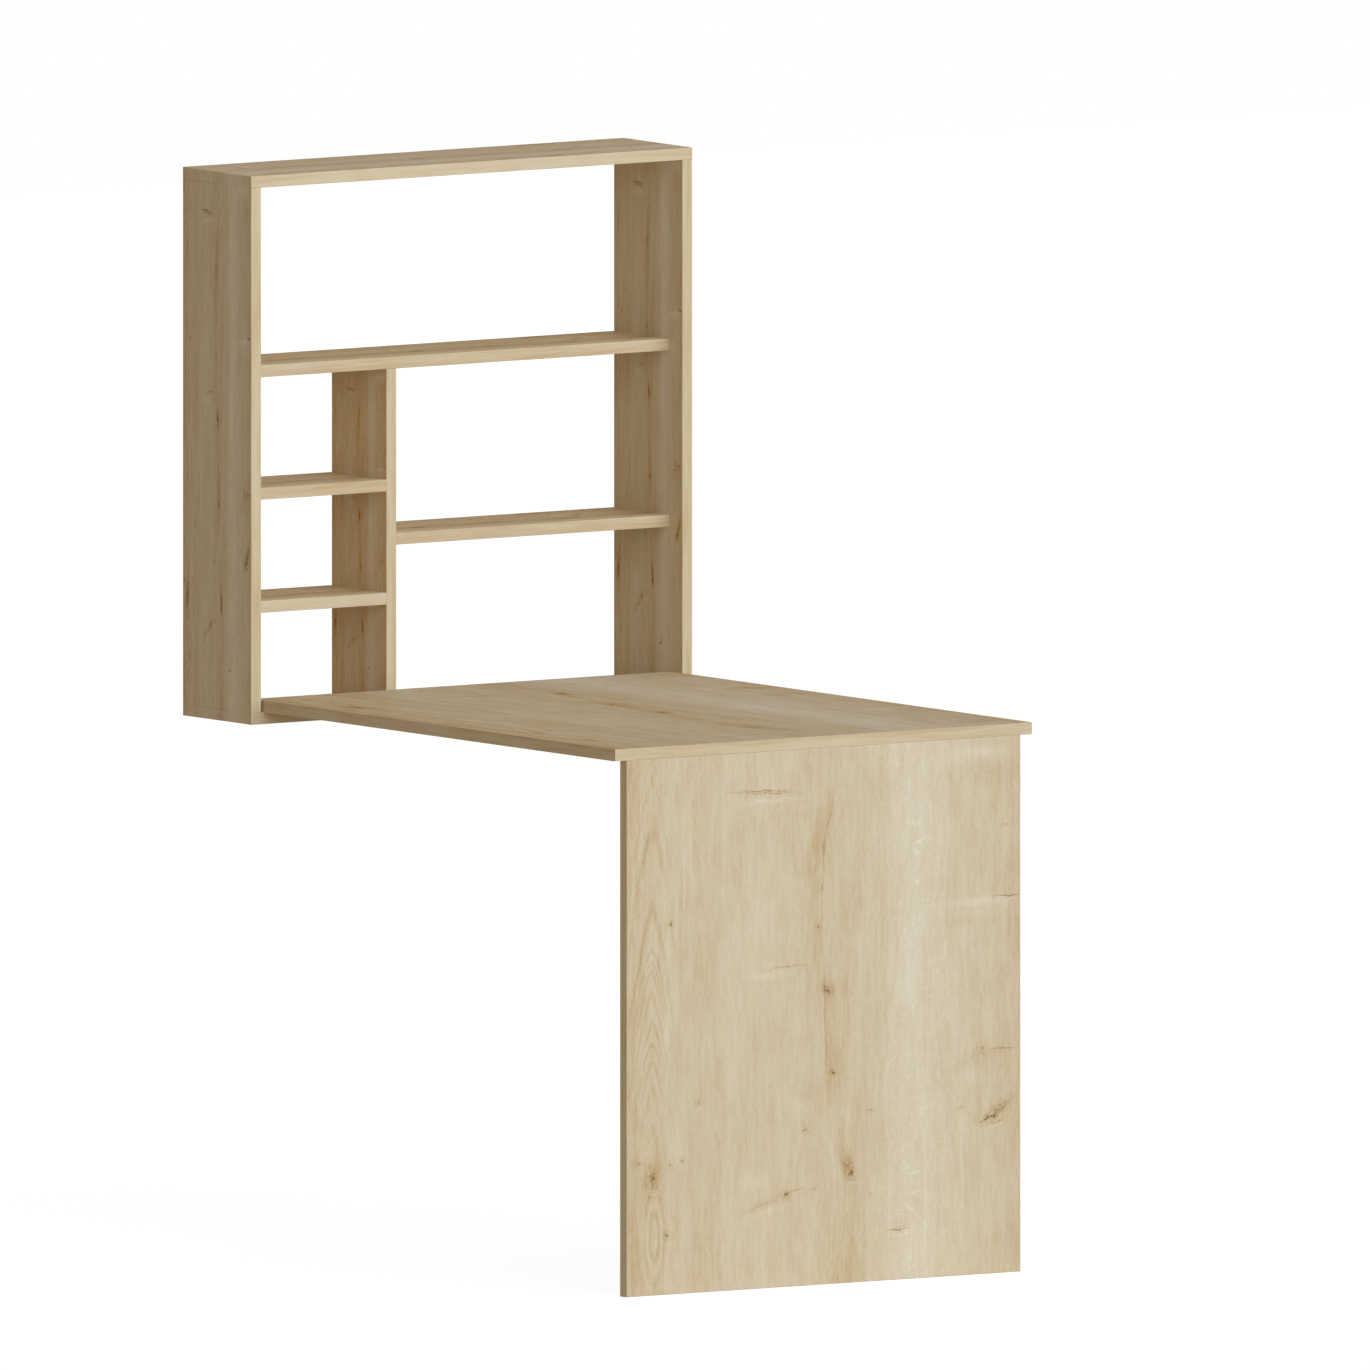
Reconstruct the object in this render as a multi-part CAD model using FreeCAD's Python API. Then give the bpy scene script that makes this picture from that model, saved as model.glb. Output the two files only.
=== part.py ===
# Fold-down wall desk: an open shelf cabinet that hangs on the wall, a desk leaf
# that turns on two hidden pins inside the cabinet, and a leg panel hinged under
# the leaf's front end. Millimetres. Z is up, the wall is the plane Y = 0, the
# room is towards -Y, and the origin is the middle of the wall fixing holes.
import FreeCAD, Part
import math
import os

V = FreeCAD.Vector
X_AXIS = V(1, 0, 0)
Y_AXIS = V(0, 1, 0)
Z_AXIS = V(0, 0, 1)

# ---- driving sizes -------------------------------------------------------
BOARD = 16.0            # melamine faced chipboard, every panel
BAND = 1.0              # edge banding
CAB_WIDTH = 708.0       # outside of the cabinet
CAB_HEIGHT = 730.0
CAB_DEPTH = 160.0
LEFT_BAY = 223.0        # clear width left of the divider
MIDDLE_SHELF = 458.0    # undersides of the shelves above the cabinet's underside
UPPER_LEFT_SHELF = 295.0
LOWER_LEFT_SHELF = 144.5
RIGHT_SHELF = 223.5
DESK_HEIGHT = 730.0     # desk top above the floor
DESK_REACH = 825.0      # desk leaf in front of the cabinet
LEG_INSET = 18.5        # leg panel in from each side of the leaf

# ---- named clearances ----------------------------------------------------
SIDE_GAP = 3.5          # leaf to side board, filled by washer and bush flange
RUN_GAP = 0.3           # between parts that move past each other
FIT = 0.05              # pin in its hole, radius
LOOSE = 0.1             # fitting in its bore, radius

# ---- fittings ------------------------------------------------------------
DOWEL_R = 4.0
DOWEL_LONG = 30.0
DOWEL_IN_FACE = 10.0    # dowel depth in the face of a board
CORNER_DOWEL_EDGE = 24.0  # back dowel from the wall, and front dowel from the pivot
SHELF_DOWEL_EDGE = 32.0   # shelf fittings from the shelf's front and back
CAM_R = 7.4
CAM_DEEP = 12.0
CAM_INSET = 24.0        # cam centre from the end of its board
CAP_THICK = 0.8
CAP_R = 8.8
BOLT_R = 3.0
BOLT_HEAD_R = 3.4
BOLT_THREAD = 9.5       # cam bolt depth in the face of a board
PIVOT_R = 3.0
PIVOT_IN_SIDE = 12.0
PIVOT_IN_LEAF = 22.0
BUSH_WALL = 1.8
BUSH_FLANGE = 1.0
FLANGE_R = 6.5
NOSE_START = 6.0        # the leaf's back end starts to round this far before the pivot
PLATE = 1.2             # leg hinge plate
HINGE_LONG = 50.0
HINGE_WIDE = 22.0
HINGE_INSET = 75.0      # outer hinges in from the sides of the leg
PLATE_SCREW_EDGE = 8.0  # hinge screws from the plate's edges
KNUCKLE_R = 2.2
KNUCKLE_MIDDLE = 25.0
HINGE_PIN_R = 1.1
SCREW_R = 1.6
SCREW_HEAD_R = 3.1
SCREW_LONG = 13.0
BRACKET = 2.0           # wall bracket steel
BRACKET_WIDE = 30.0
BRACKET_DEEP = 40.0
BRACKET_DROP = 17.0
BRACKET_SCREW_EDGE = 9.0
BRACKET_SCREW_PITCH = 15.0
HOLE_DROP = 10.0        # wall hole under its board
WALL_HOLE_R = 2.75
WALL_HOLE_PITCH = 450.0

# ---- places that follow from them ----------------------------------------
HALF = CAB_WIDTH / 2
IN_X = HALF - BOARD                     # inner face of a side board
FRONT = -CAB_DEPTH                      # front plane of the cabinet
RECESS = 2 * BOARD                      # leaf and leg lie in front of the shelves
SHELF_FRONT = FRONT + RECESS
FOOT = -(CAB_HEIGHT - BOARD) / 2 + HOLE_DROP   # underside of the cabinet
HEAD = FOOT + CAB_HEIGHT
INSIDE_LOW = FOOT + BOARD
INSIDE_HIGH = HEAD - BOARD
DIVIDER_LEFT = -IN_X + LEFT_BAY
DIVIDER_RIGHT = DIVIDER_LEFT + BOARD
MIDDLE_LOW = FOOT + MIDDLE_SHELF

LEAF_LOW = INSIDE_LOW
LEAF_TOP = LEAF_LOW + BOARD
LEAF_FRONT = FRONT - DESK_REACH
LEAF_HALF = IN_X - SIDE_GAP
NOSE_R = BOARD / 2 - RUN_GAP
PIVOT_Y = SHELF_FRONT - BOARD / 2
PIVOT_Z = LEAF_LOW + BOARD / 2
BUSH_R = PIVOT_R + FIT + BUSH_WALL

FLOOR = LEAF_TOP - DESK_HEIGHT
LEG_HALF = LEAF_HALF - LEG_INSET
LEG_BACK = LEAF_FRONT + BOARD
HINGE_OFF = KNUCKLE_R + RUN_GAP         # hinge line from both boards
HINGE_Y = LEG_BACK + HINGE_OFF
HINGE_Z = LEAF_LOW - HINGE_OFF
HINGE_XS = [-LEG_HALF + HINGE_INSET, 0.0, LEG_HALF - HINGE_INSET]
HINGE_HOLES = [PLATE_SCREW_EDGE - HINGE_LONG / 2, HINGE_LONG / 2 - PLATE_SCREW_EDGE]
HINGE_HOLE_OUT = HINGE_WIDE - PLATE_SCREW_EDGE      # screw line from the hinge line

BRACKET_XS = [-WALL_HOLE_PITCH / 2, WALL_HOLE_PITCH / 2]
BRACKET_SCREW_Y = BRACKET_SCREW_EDGE - BRACKET_DEEP
BRACKET_SCREW_YS = [BRACKET_SCREW_Y, BRACKET_SCREW_Y + BRACKET_SCREW_PITCH]

# Dowels in the corners stay behind the leaf's pivot pins.
CORNER_BACK = -CORNER_DOWEL_EDGE
CORNER_FRONT = PIVOT_Y + CORNER_DOWEL_EDGE
CORNER_DOWEL_YS = [CORNER_BACK, (CORNER_BACK + CORNER_FRONT) / 2, CORNER_FRONT]
SHELF_BACK_Y = -SHELF_DOWEL_EDGE
SHELF_FRONT_Y = SHELF_FRONT + SHELF_DOWEL_EDGE
SHELF_MIDDLE_Y = SHELF_FRONT / 2


def box(x0, x1, y0, y1, z0, z1):
    return Part.makeBox(x1 - x0, y1 - y0, z1 - z0, V(x0, y0, z0))


def rod(radius, length, start, direction):
    return Part.makeCylinder(radius, length, start, direction)


def export(name, shape):
    if isinstance(shape, list):
        shape = Part.makeCompound(shape)
    shape.exportStep("parts/" + name + ".step")


def drill(board, tools):
    return board.cut(Part.makeCompound(tools)) if tools else board


# ---- joints between the boards -------------------------------------------
# A shelf end meets the face of an upright at x, looking along `way` (+1 or -1).
# Each joint lists where its cams and dowels sit along Y.
def shelf_joints():
    small = ([SHELF_FRONT_Y], [SHELF_BACK_Y])
    large = ([SHELF_FRONT_Y, SHELF_BACK_Y], [SHELF_MIDDLE_Y])
    return {
        "middle_shelf": [(-IN_X, -1, MIDDLE_LOW, large), (IN_X, 1, MIDDLE_LOW, large)],
        "shelf_left_upper": [(-IN_X, -1, FOOT + UPPER_LEFT_SHELF, small),
                             (DIVIDER_LEFT, 1, FOOT + UPPER_LEFT_SHELF, small)],
        "shelf_left_lower": [(-IN_X, -1, FOOT + LOWER_LEFT_SHELF, small),
                             (DIVIDER_LEFT, 1, FOOT + LOWER_LEFT_SHELF, small)],
        "shelf_right": [(DIVIDER_RIGHT, -1, FOOT + RIGHT_SHELF, small),
                        (IN_X, 1, FOOT + RIGHT_SHELF, small)],
    }


def all_shelf_joints():
    return [joint for joints in shelf_joints().values() for joint in joints]


# An upright end meets the face of a level board at z, looking along `way`.
def upright_joints():
    side_x = HALF - BOARD / 2
    divider_x = DIVIDER_LEFT + BOARD / 2
    divider_ys = [SHELF_FRONT_Y, SHELF_BACK_Y]
    return {
        "side_board_left": [(-side_x, INSIDE_LOW, -1, CORNER_DOWEL_YS),
                            (-side_x, INSIDE_HIGH, 1, CORNER_DOWEL_YS)],
        "side_board_right": [(side_x, INSIDE_LOW, -1, CORNER_DOWEL_YS),
                             (side_x, INSIDE_HIGH, 1, CORNER_DOWEL_YS)],
        "divider_board": [(divider_x, INSIDE_LOW, -1, divider_ys),
                          (divider_x, MIDDLE_LOW, 1, divider_ys)],
    }


def level_dowel(x, way, low, y, extra):
    into_end = DOWEL_LONG - DOWEL_IN_FACE + extra
    start = V(x - way * into_end, y, low + BOARD / 2)
    return rod(DOWEL_R + extra, DOWEL_LONG + 2 * extra, start, X_AXIS * way)


def upright_dowel(x, z, way, y, extra):
    into_end = DOWEL_LONG - DOWEL_IN_FACE + extra
    start = V(x, y, z - way * into_end)
    return rod(DOWEL_R + extra, DOWEL_LONG + 2 * extra, start, Z_AXIS * way)


# Bores that one shelf joint needs, in the shelf and in the upright together.
def shelf_joint_bores(joint):
    x, way, low, (cam_ys, dowel_ys) = joint
    bores = [level_dowel(x, way, low, y, LOOSE) for y in dowel_ys]
    for y in cam_ys:
        cam_x = x - way * CAM_INSET
        bores.append(rod(CAM_R + LOOSE, CAM_DEEP + LOOSE, V(cam_x, y, low), Z_AXIS))
        middle = low + BOARD / 2
        bores.append(rod(BOLT_HEAD_R + LOOSE, CAM_INSET, V(cam_x, y, middle), X_AXIS * way))
        bores.append(rod(BOLT_R + LOOSE, BOLT_THREAD + LOOSE, V(x, y, middle), X_AXIS * way))
    return bores


def upright_joint_bores(joint):
    x, z, way, ys = joint
    return [upright_dowel(x, z, way, y, LOOSE) for y in ys]


def board(name, x0, x1, y0, y1, z0, z1):
    tools = []
    for joint in all_shelf_joints():
        tools += shelf_joint_bores(joint)
    for joints in upright_joints().values():
        for joint in joints:
            tools += upright_joint_bores(joint)
    tools += pivot_side_bores() + bracket_screw_bores()
    blank = box(x0, x1, y0, y1, z0, z1)
    near = [tool for tool in tools if tool.BoundBox.intersect(blank.BoundBox)]
    export(name, drill(blank, near))


# ---- cabinet boards and their edge bands ---------------------------------
def level_board(name, z0):
    board(name, -HALF + BAND, HALF - BAND, FRONT + BAND, 0, z0, z0 + BOARD)
    bands = [box(-HALF, HALF, FRONT, FRONT + BAND, z0, z0 + BOARD)]
    for side in (-1, 1):
        outer = side * HALF
        inner = side * (HALF - BAND)
        bands.append(box(min(outer, inner), max(outer, inner), FRONT + BAND, 0, z0, z0 + BOARD))
    export(name.replace("_board", "_edge_bands"), bands)


def banded_panel(name, x0, x1, front, z0, z1):
    board(name, x0, x1, front + BAND, 0, z0, z1)
    export(name + "_edge_band", box(x0, x1, front, front + BAND, z0, z1))


def cabinet_boards():
    level_board("bottom_board", FOOT)
    level_board("top_board", INSIDE_HIGH)
    banded_panel("side_board_left", -HALF, -IN_X, FRONT, INSIDE_LOW, INSIDE_HIGH)
    banded_panel("side_board_right", IN_X, HALF, FRONT, INSIDE_LOW, INSIDE_HIGH)
    banded_panel("middle_shelf", -IN_X, IN_X, SHELF_FRONT, MIDDLE_LOW, MIDDLE_LOW + BOARD)
    banded_panel("divider_board", DIVIDER_LEFT, DIVIDER_RIGHT, SHELF_FRONT, INSIDE_LOW, MIDDLE_LOW)
    for name, low in (("shelf_left_upper", UPPER_LEFT_SHELF), ("shelf_left_lower", LOWER_LEFT_SHELF)):
        banded_panel(name, -IN_X, DIVIDER_LEFT, SHELF_FRONT, FOOT + low, FOOT + low + BOARD)
    low = FOOT + RIGHT_SHELF
    banded_panel("shelf_right", DIVIDER_RIGHT, IN_X, SHELF_FRONT, low, low + BOARD)


# ---- dowels, cam locks, bolts and caps -----------------------------------
def wood_dowels():
    dowels = []
    for x, way, low, (cam_ys, dowel_ys) in all_shelf_joints():
        dowels += [level_dowel(x, way, low, y, 0) for y in dowel_ys]
    for joints in upright_joints().values():
        for x, z, way, ys in joints:
            dowels += [upright_dowel(x, z, way, y, 0) for y in ys]
    export("wood_dowels", dowels)


def cross_slot(centre, size, deep, direction):
    along = size / 2
    wide = size / 8
    bar_a = Part.makeBox(2 * along, 2 * wide, deep, V(-along, -wide, 0))
    bar_b = Part.makeBox(2 * wide, 2 * along, deep, V(-wide, -along, 0))
    cross = bar_a.fuse(bar_b)
    cross.Placement = FreeCAD.Placement(centre, FreeCAD.Rotation(Z_AXIS, direction))
    return cross


# The cam is a drum with a hollow for the bolt head and a cross slot underneath.
def cam_lock(x, way, low, y):
    cam_x = x - way * CAM_INSET
    drum = rod(CAM_R, CAM_DEEP, V(cam_x, y, low), Z_AXIS)
    middle = V(cam_x, y, low + BOARD / 2)
    hollow = rod(BOLT_HEAD_R + LOOSE, CAM_R * 2, middle, X_AXIS * way)
    pocket = Part.makeSphere(BOLT_HEAD_R + LOOSE, middle)
    slot = cross_slot(V(cam_x, y, low), CAM_R * 1.3, 2.0, Z_AXIS)
    return drum.cut(hollow.fuse(pocket)).cut(slot)


# The bolt has a threaded end in the upright, a collar, a shank and a round head.
def cam_bolt(x, way, low, y):
    z = low + BOARD / 2
    start = V(x - way * CAM_INSET, y, z)
    head = rod(BOLT_HEAD_R, 2.4, start + X_AXIS * way * 0.6, X_AXIS * way)
    shank = rod(BOLT_R * 0.7, CAM_INSET - 2.0, start + X_AXIS * way, X_AXIS * way)
    collar = rod(BOLT_HEAD_R, 8.0, V(x - way * 8.0, y, z), X_AXIS * way)
    thread = rod(BOLT_R, BOLT_THREAD, V(x, y, z), X_AXIS * way)
    return head.fuse([shank, collar, thread]).removeSplitter()


def cam_cover_cap(x, way, low, y):
    centre = V(x - way * CAM_INSET, y, low - CAP_THICK)
    disc = rod(CAP_R, CAP_THICK, centre, Z_AXIS)
    edges = [edge for edge in disc.Edges if edge.BoundBox.ZMax < low - CAP_THICK / 2]
    return disc.makeChamfer(CAP_THICK / 2, [edge for edge in edges if edge.Length > CAP_R])


def cam_fittings():
    places = [(x, way, low, y) for x, way, low, (cam_ys, dowel_ys) in all_shelf_joints() for y in cam_ys]
    export("cam_locks", [cam_lock(*place) for place in places])
    export("cam_bolts", [cam_bolt(*place) for place in places])
    export("cam_cover_caps", [cam_cover_cap(*place) for place in places])


# ---- screws --------------------------------------------------------------
# A countersunk wood screw whose head face is at `head`, driven along `way`.
def wood_screw(head, way):
    sink = SCREW_HEAD_R - SCREW_R
    cone = Part.makeCone(SCREW_HEAD_R, SCREW_R, sink, head, way)
    shank = rod(SCREW_R, SCREW_LONG - sink - 3 * SCREW_R, head + way * sink, way)
    tip_start = head + way * (SCREW_LONG - 3 * SCREW_R)
    tip = Part.makeCone(SCREW_R, SCREW_R * 0.2, 3 * SCREW_R, tip_start, way)
    body = cone.fuse([shank, tip]).removeSplitter()
    return body.cut(cross_slot(head, SCREW_HEAD_R * 1.2, sink * 0.7, way))


# The hole for that screw: countersink, then a bore a little larger all round.
def screw_bore(head, way):
    sink = SCREW_HEAD_R - SCREW_R
    cone = Part.makeCone(SCREW_HEAD_R + LOOSE, SCREW_R + LOOSE, sink, head, way)
    return cone.fuse(rod(SCREW_R + LOOSE, SCREW_LONG + LOOSE, head, way))


# ---- wall brackets -------------------------------------------------------
def bracket_levels():
    return [INSIDE_HIGH, FOOT]


def bracket_screw_heads():
    heads = []
    for level in bracket_levels():
        heads += [V(x, y, level - BRACKET) for x in BRACKET_XS for y in BRACKET_SCREW_YS]
    return heads


def bracket_screw_bores():
    return [screw_bore(head, Z_AXIS) for head in bracket_screw_heads()]


# An angle bracket: one leg screwed up under the board, one flat on the wall.
def wall_bracket(x, level):
    half = BRACKET_WIDE / 2
    under = box(x - half, x + half, -BRACKET_DEEP, 0, level - BRACKET, level)
    upright = box(x - half, x + half, -BRACKET, 0, level - BRACKET_DROP, level)
    angle = under.fuse(upright).removeSplitter()
    inner = [e for e in angle.Edges
             if abs(e.BoundBox.YMin + BRACKET) < 0.01 and abs(e.BoundBox.YMax + BRACKET) < 0.01
             and abs(e.BoundBox.ZMin - level + BRACKET) < 0.01 and e.Length > half]
    angle = angle.makeFillet(BRACKET, inner)
    tools = [rod(WALL_HOLE_R, 3 * BRACKET, V(x, -2 * BRACKET, level - HOLE_DROP), Y_AXIS)]
    tools += [screw_bore(V(x, y, level - BRACKET), Z_AXIS) for y in BRACKET_SCREW_YS]
    return angle.cut(Part.makeCompound(tools))


def wall_fixings():
    export("hanger_brackets", [wall_bracket(x, level) for level in bracket_levels() for x in BRACKET_XS])
    export("bracket_screws", [wood_screw(head, Z_AXIS) for head in bracket_screw_heads()])


# ---- pivots between cabinet and leaf -------------------------------------
def pivot_side_bores():
    depth = PIVOT_IN_SIDE + LOOSE
    return [rod(PIVOT_R + FIT, depth, V(side * IN_X, PIVOT_Y, PIVOT_Z), X_AXIS * side) for side in (-1, 1)]


def pivots():
    pins = []
    washers = []
    bushes = []
    washer = SIDE_GAP - BUSH_FLANGE - RUN_GAP
    for side in (-1, 1):
        inwards = X_AXIS * -side
        on_side = V(side * IN_X, PIVOT_Y, PIVOT_Z)
        on_leaf = V(side * LEAF_HALF, PIVOT_Y, PIVOT_Z)
        length = PIVOT_IN_SIDE + SIDE_GAP + PIVOT_IN_LEAF
        pins.append(rod(PIVOT_R, length, on_side - inwards * PIVOT_IN_SIDE, inwards))
        ring = rod(FLANGE_R, washer, on_side, inwards)
        washers.append(ring.cut(rod(PIVOT_R + FIT, washer, on_side, inwards)))
        sleeve = rod(BUSH_R, PIVOT_IN_LEAF + LOOSE, on_leaf, inwards)
        flange = rod(FLANGE_R, BUSH_FLANGE, on_leaf - inwards * BUSH_FLANGE, inwards)
        bore = rod(PIVOT_R + FIT, PIVOT_IN_LEAF + 2 * BUSH_FLANGE, on_leaf - inwards * BUSH_FLANGE, inwards)
        bushes.append(sleeve.fuse(flange).removeSplitter().cut(bore))
    export("pivot_pins", pins)
    export("pivot_washers", washers)
    export("pivot_bushes", bushes)


# ---- desk leaf -----------------------------------------------------------
# Side outline of the leaf. Its back end is rounded about the pivot with RUN_GAP
# to spare, so it turns in place between the bottom board and the divider; the
# flat underside starts ahead of the pivot and rests on the bottom board.
def leaf_outline(x, front):
    half = BOARD / 2
    reach = math.hypot(NOSE_START, half)
    turn = math.atan2(half, NOSE_START) + math.acos(NOSE_R / reach)
    points = {}
    for side in (-1, 1):
        ahead = NOSE_R * math.cos(turn)
        points[side] = V(x, PIVOT_Y - ahead, PIVOT_Z + side * NOSE_R * math.sin(turn))
    back = V(x, PIVOT_Y + NOSE_R, PIVOT_Z)
    start = PIVOT_Y - NOSE_START
    top_front = V(x, front, PIVOT_Z + half)
    low_front = V(x, front, PIVOT_Z - half)
    top_start = V(x, start, PIVOT_Z + half)
    low_start = V(x, start, PIVOT_Z - half)
    edges = [Part.makeLine(low_front, low_start), Part.makeLine(low_start, points[-1]),
             Part.Arc(points[-1], back, points[1]).toShape(), Part.makeLine(points[1], top_start),
             Part.makeLine(top_start, top_front), Part.makeLine(top_front, low_front)]
    return Part.Face(Part.Wire(edges))


def leaf_slice(x0, x1, front):
    return leaf_outline(x0, front).extrude(V(x1 - x0, 0, 0))


def desk_leaf():
    bores = [screw_bore(head, Z_AXIS) for head in leaf_screw_heads()]
    for side in (-1, 1):
        start = V(side * LEAF_HALF, PIVOT_Y, PIVOT_Z)
        bores.append(rod(BUSH_R + LOOSE, PIVOT_IN_LEAF + 3 * LOOSE, start, X_AXIS * -side))
    front = LEAF_FRONT + BAND
    core = leaf_slice(-LEAF_HALF + BAND, LEAF_HALF - BAND, front)
    export("desk_leaf", drill(core, bores))
    bands = [box(-LEAF_HALF, LEAF_HALF, LEAF_FRONT, front, LEAF_LOW, LEAF_TOP)]
    bands.append(drill(leaf_slice(-LEAF_HALF, -LEAF_HALF + BAND, front), bores[-2:]))
    bands.append(drill(leaf_slice(LEAF_HALF - BAND, LEAF_HALF, front), bores[-2:]))
    export("desk_leaf_edge_bands", bands)


# ---- leg panel and its hinges --------------------------------------------
def leaf_screw_heads():
    y = HINGE_Y + HINGE_HOLE_OUT
    return [V(x + hole, y, LEAF_LOW - PLATE) for x in HINGE_XS for hole in HINGE_HOLES]


def leg_screw_heads():
    z = HINGE_Z - HINGE_HOLE_OUT
    return [V(x + hole, LEG_BACK + PLATE, z) for x in HINGE_XS for hole in HINGE_HOLES]


def leg_panel():
    low = FLOOR + BAND
    core = box(-LEG_HALF + BAND, LEG_HALF - BAND, LEAF_FRONT, LEG_BACK, low, LEAF_LOW)
    export("leg_panel", drill(core, [screw_bore(head, -Y_AXIS) for head in leg_screw_heads()]))
    bands = [box(-LEG_HALF, LEG_HALF, LEAF_FRONT, LEG_BACK, FLOOR, low)]
    bands.append(box(-LEG_HALF, -LEG_HALF + BAND, LEAF_FRONT, LEG_BACK, low, LEAF_LOW))
    bands.append(box(LEG_HALF - BAND, LEG_HALF, LEAF_FRONT, LEG_BACK, low, LEAF_LOW))
    export("leg_panel_edge_bands", bands)


def knuckle(x0, x1):
    return rod(KNUCKLE_R, x1 - x0, V(x0, HINGE_Y, HINGE_Z), X_AXIS)


def hinge_bore(x):
    return rod(HINGE_PIN_R + FIT, HINGE_LONG, V(x - HINGE_LONG / 2, HINGE_Y, HINGE_Z), X_AXIS)


# Plate under the leaf with the two outer knuckles.
def hinge_desk_plate(x):
    half = HINGE_LONG / 2
    middle = KNUCKLE_MIDDLE / 2 + RUN_GAP
    clear = HINGE_Y + KNUCKLE_R + 2 * RUN_GAP
    plate = box(x - half, x + half, clear, HINGE_Y + HINGE_WIDE, LEAF_LOW - PLATE, LEAF_LOW)
    pieces = []
    for x0, x1 in ((x - half, x - middle), (x + middle, x + half)):
        pieces.append(knuckle(x0, x1))
        pieces.append(box(x0, x1, HINGE_Y, clear, LEAF_LOW - PLATE, LEAF_LOW))
    body = plate.fuse(pieces).removeSplitter()
    tools = [hinge_bore(x)]
    y = HINGE_Y + HINGE_HOLE_OUT
    tools += [screw_bore(V(x + hole, y, LEAF_LOW - PLATE), Z_AXIS) for hole in HINGE_HOLES]
    return body.cut(Part.makeCompound(tools))


# Plate on the leg's inner face with the middle knuckle.
def hinge_leg_plate(x):
    half = HINGE_LONG / 2
    middle = KNUCKLE_MIDDLE / 2
    clear = HINGE_Z - KNUCKLE_R - 2 * RUN_GAP
    plate = box(x - half, x + half, LEG_BACK, LEG_BACK + PLATE, HINGE_Z - HINGE_WIDE, clear)
    tongue = box(x - middle, x + middle, LEG_BACK, LEG_BACK + PLATE, clear, HINGE_Z)
    body = plate.fuse([tongue, knuckle(x - middle, x + middle)]).removeSplitter()
    tools = [hinge_bore(x)]
    z = HINGE_Z - HINGE_HOLE_OUT
    tools += [screw_bore(V(x + hole, LEG_BACK + PLATE, z), -Y_AXIS) for hole in HINGE_HOLES]
    return body.cut(Part.makeCompound(tools))


def leg_hinges():
    export("hinge_desk_plates", [hinge_desk_plate(x) for x in HINGE_XS])
    export("hinge_leg_plates", [hinge_leg_plate(x) for x in HINGE_XS])
    pins = [rod(HINGE_PIN_R, HINGE_LONG, V(x - HINGE_LONG / 2, HINGE_Y, HINGE_Z), X_AXIS) for x in HINGE_XS]
    export("hinge_pins", pins)
    export("hinge_desk_screws", [wood_screw(head, Z_AXIS) for head in leaf_screw_heads()])
    export("hinge_leg_screws", [wood_screw(head, -Y_AXIS) for head in leg_screw_heads()])


os.makedirs("parts", exist_ok=True)
cabinet_boards()
wood_dowels()
cam_fittings()
wall_fixings()
pivots()
desk_leaf()
leg_panel()
leg_hinges()
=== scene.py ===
# %% [markdown]
# # A fold-down wall desk
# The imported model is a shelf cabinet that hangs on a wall, a desk leaf that turns
# on two hidden pins inside it, and a leg panel hinged under the leaf's front end.
# All the eye meets is melamine-faced board with a light oak print, so this lesson
# is mostly about one printed wood pattern and the light that shows it.
# The first cell loads the fixed frame and measures the space it fills.

# %% Load the frame
import math

import bmesh
import bpy
from mathutils import Matrix, Vector


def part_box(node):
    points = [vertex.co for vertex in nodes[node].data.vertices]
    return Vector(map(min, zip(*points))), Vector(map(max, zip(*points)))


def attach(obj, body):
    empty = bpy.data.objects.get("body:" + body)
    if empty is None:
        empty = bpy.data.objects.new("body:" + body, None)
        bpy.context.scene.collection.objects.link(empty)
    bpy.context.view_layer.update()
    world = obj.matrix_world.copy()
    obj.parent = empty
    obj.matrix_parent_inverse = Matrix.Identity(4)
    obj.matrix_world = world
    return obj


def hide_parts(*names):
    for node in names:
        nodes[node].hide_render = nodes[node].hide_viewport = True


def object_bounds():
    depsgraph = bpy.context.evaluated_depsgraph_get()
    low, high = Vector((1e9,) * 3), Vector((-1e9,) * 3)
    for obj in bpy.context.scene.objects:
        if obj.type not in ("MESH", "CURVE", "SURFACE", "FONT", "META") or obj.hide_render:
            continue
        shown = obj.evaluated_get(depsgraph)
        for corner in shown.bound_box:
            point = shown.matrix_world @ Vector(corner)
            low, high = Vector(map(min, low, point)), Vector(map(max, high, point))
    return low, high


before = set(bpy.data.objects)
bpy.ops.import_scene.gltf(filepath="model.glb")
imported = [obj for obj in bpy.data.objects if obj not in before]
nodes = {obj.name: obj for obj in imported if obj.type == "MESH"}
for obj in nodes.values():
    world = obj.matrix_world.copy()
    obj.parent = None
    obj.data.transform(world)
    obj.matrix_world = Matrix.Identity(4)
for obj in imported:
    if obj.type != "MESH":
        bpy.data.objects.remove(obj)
cad_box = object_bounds()
print("nodes:", len(nodes), "box in metres:", cad_box)

# %% [markdown]
# ## Camera
# Furniture is often drawn with parallel lines kept parallel, so that one scale
# holds all over the picture. An orthographic camera does that. It stands in
# front, well round to the left, and looks a little down. It is aimed by one known
# point: the cabinet's lower left front corner, and the pixel where that falls.

# %% Camera
ROUND = math.radians(34.395)
UP = math.radians(5.520)
PICTURE_PIXELS = 1370
METRES_PER_PIXEL = 0.00132452
CORNER_PIXEL = (251.22, 725.0)
CAMERA_AWAY = 6.0
CLIP_END = 60.0


def put_in_scene(name, data):
    made = bpy.data.objects.new(name, data)
    bpy.context.collection.objects.link(made)
    return made


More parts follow.
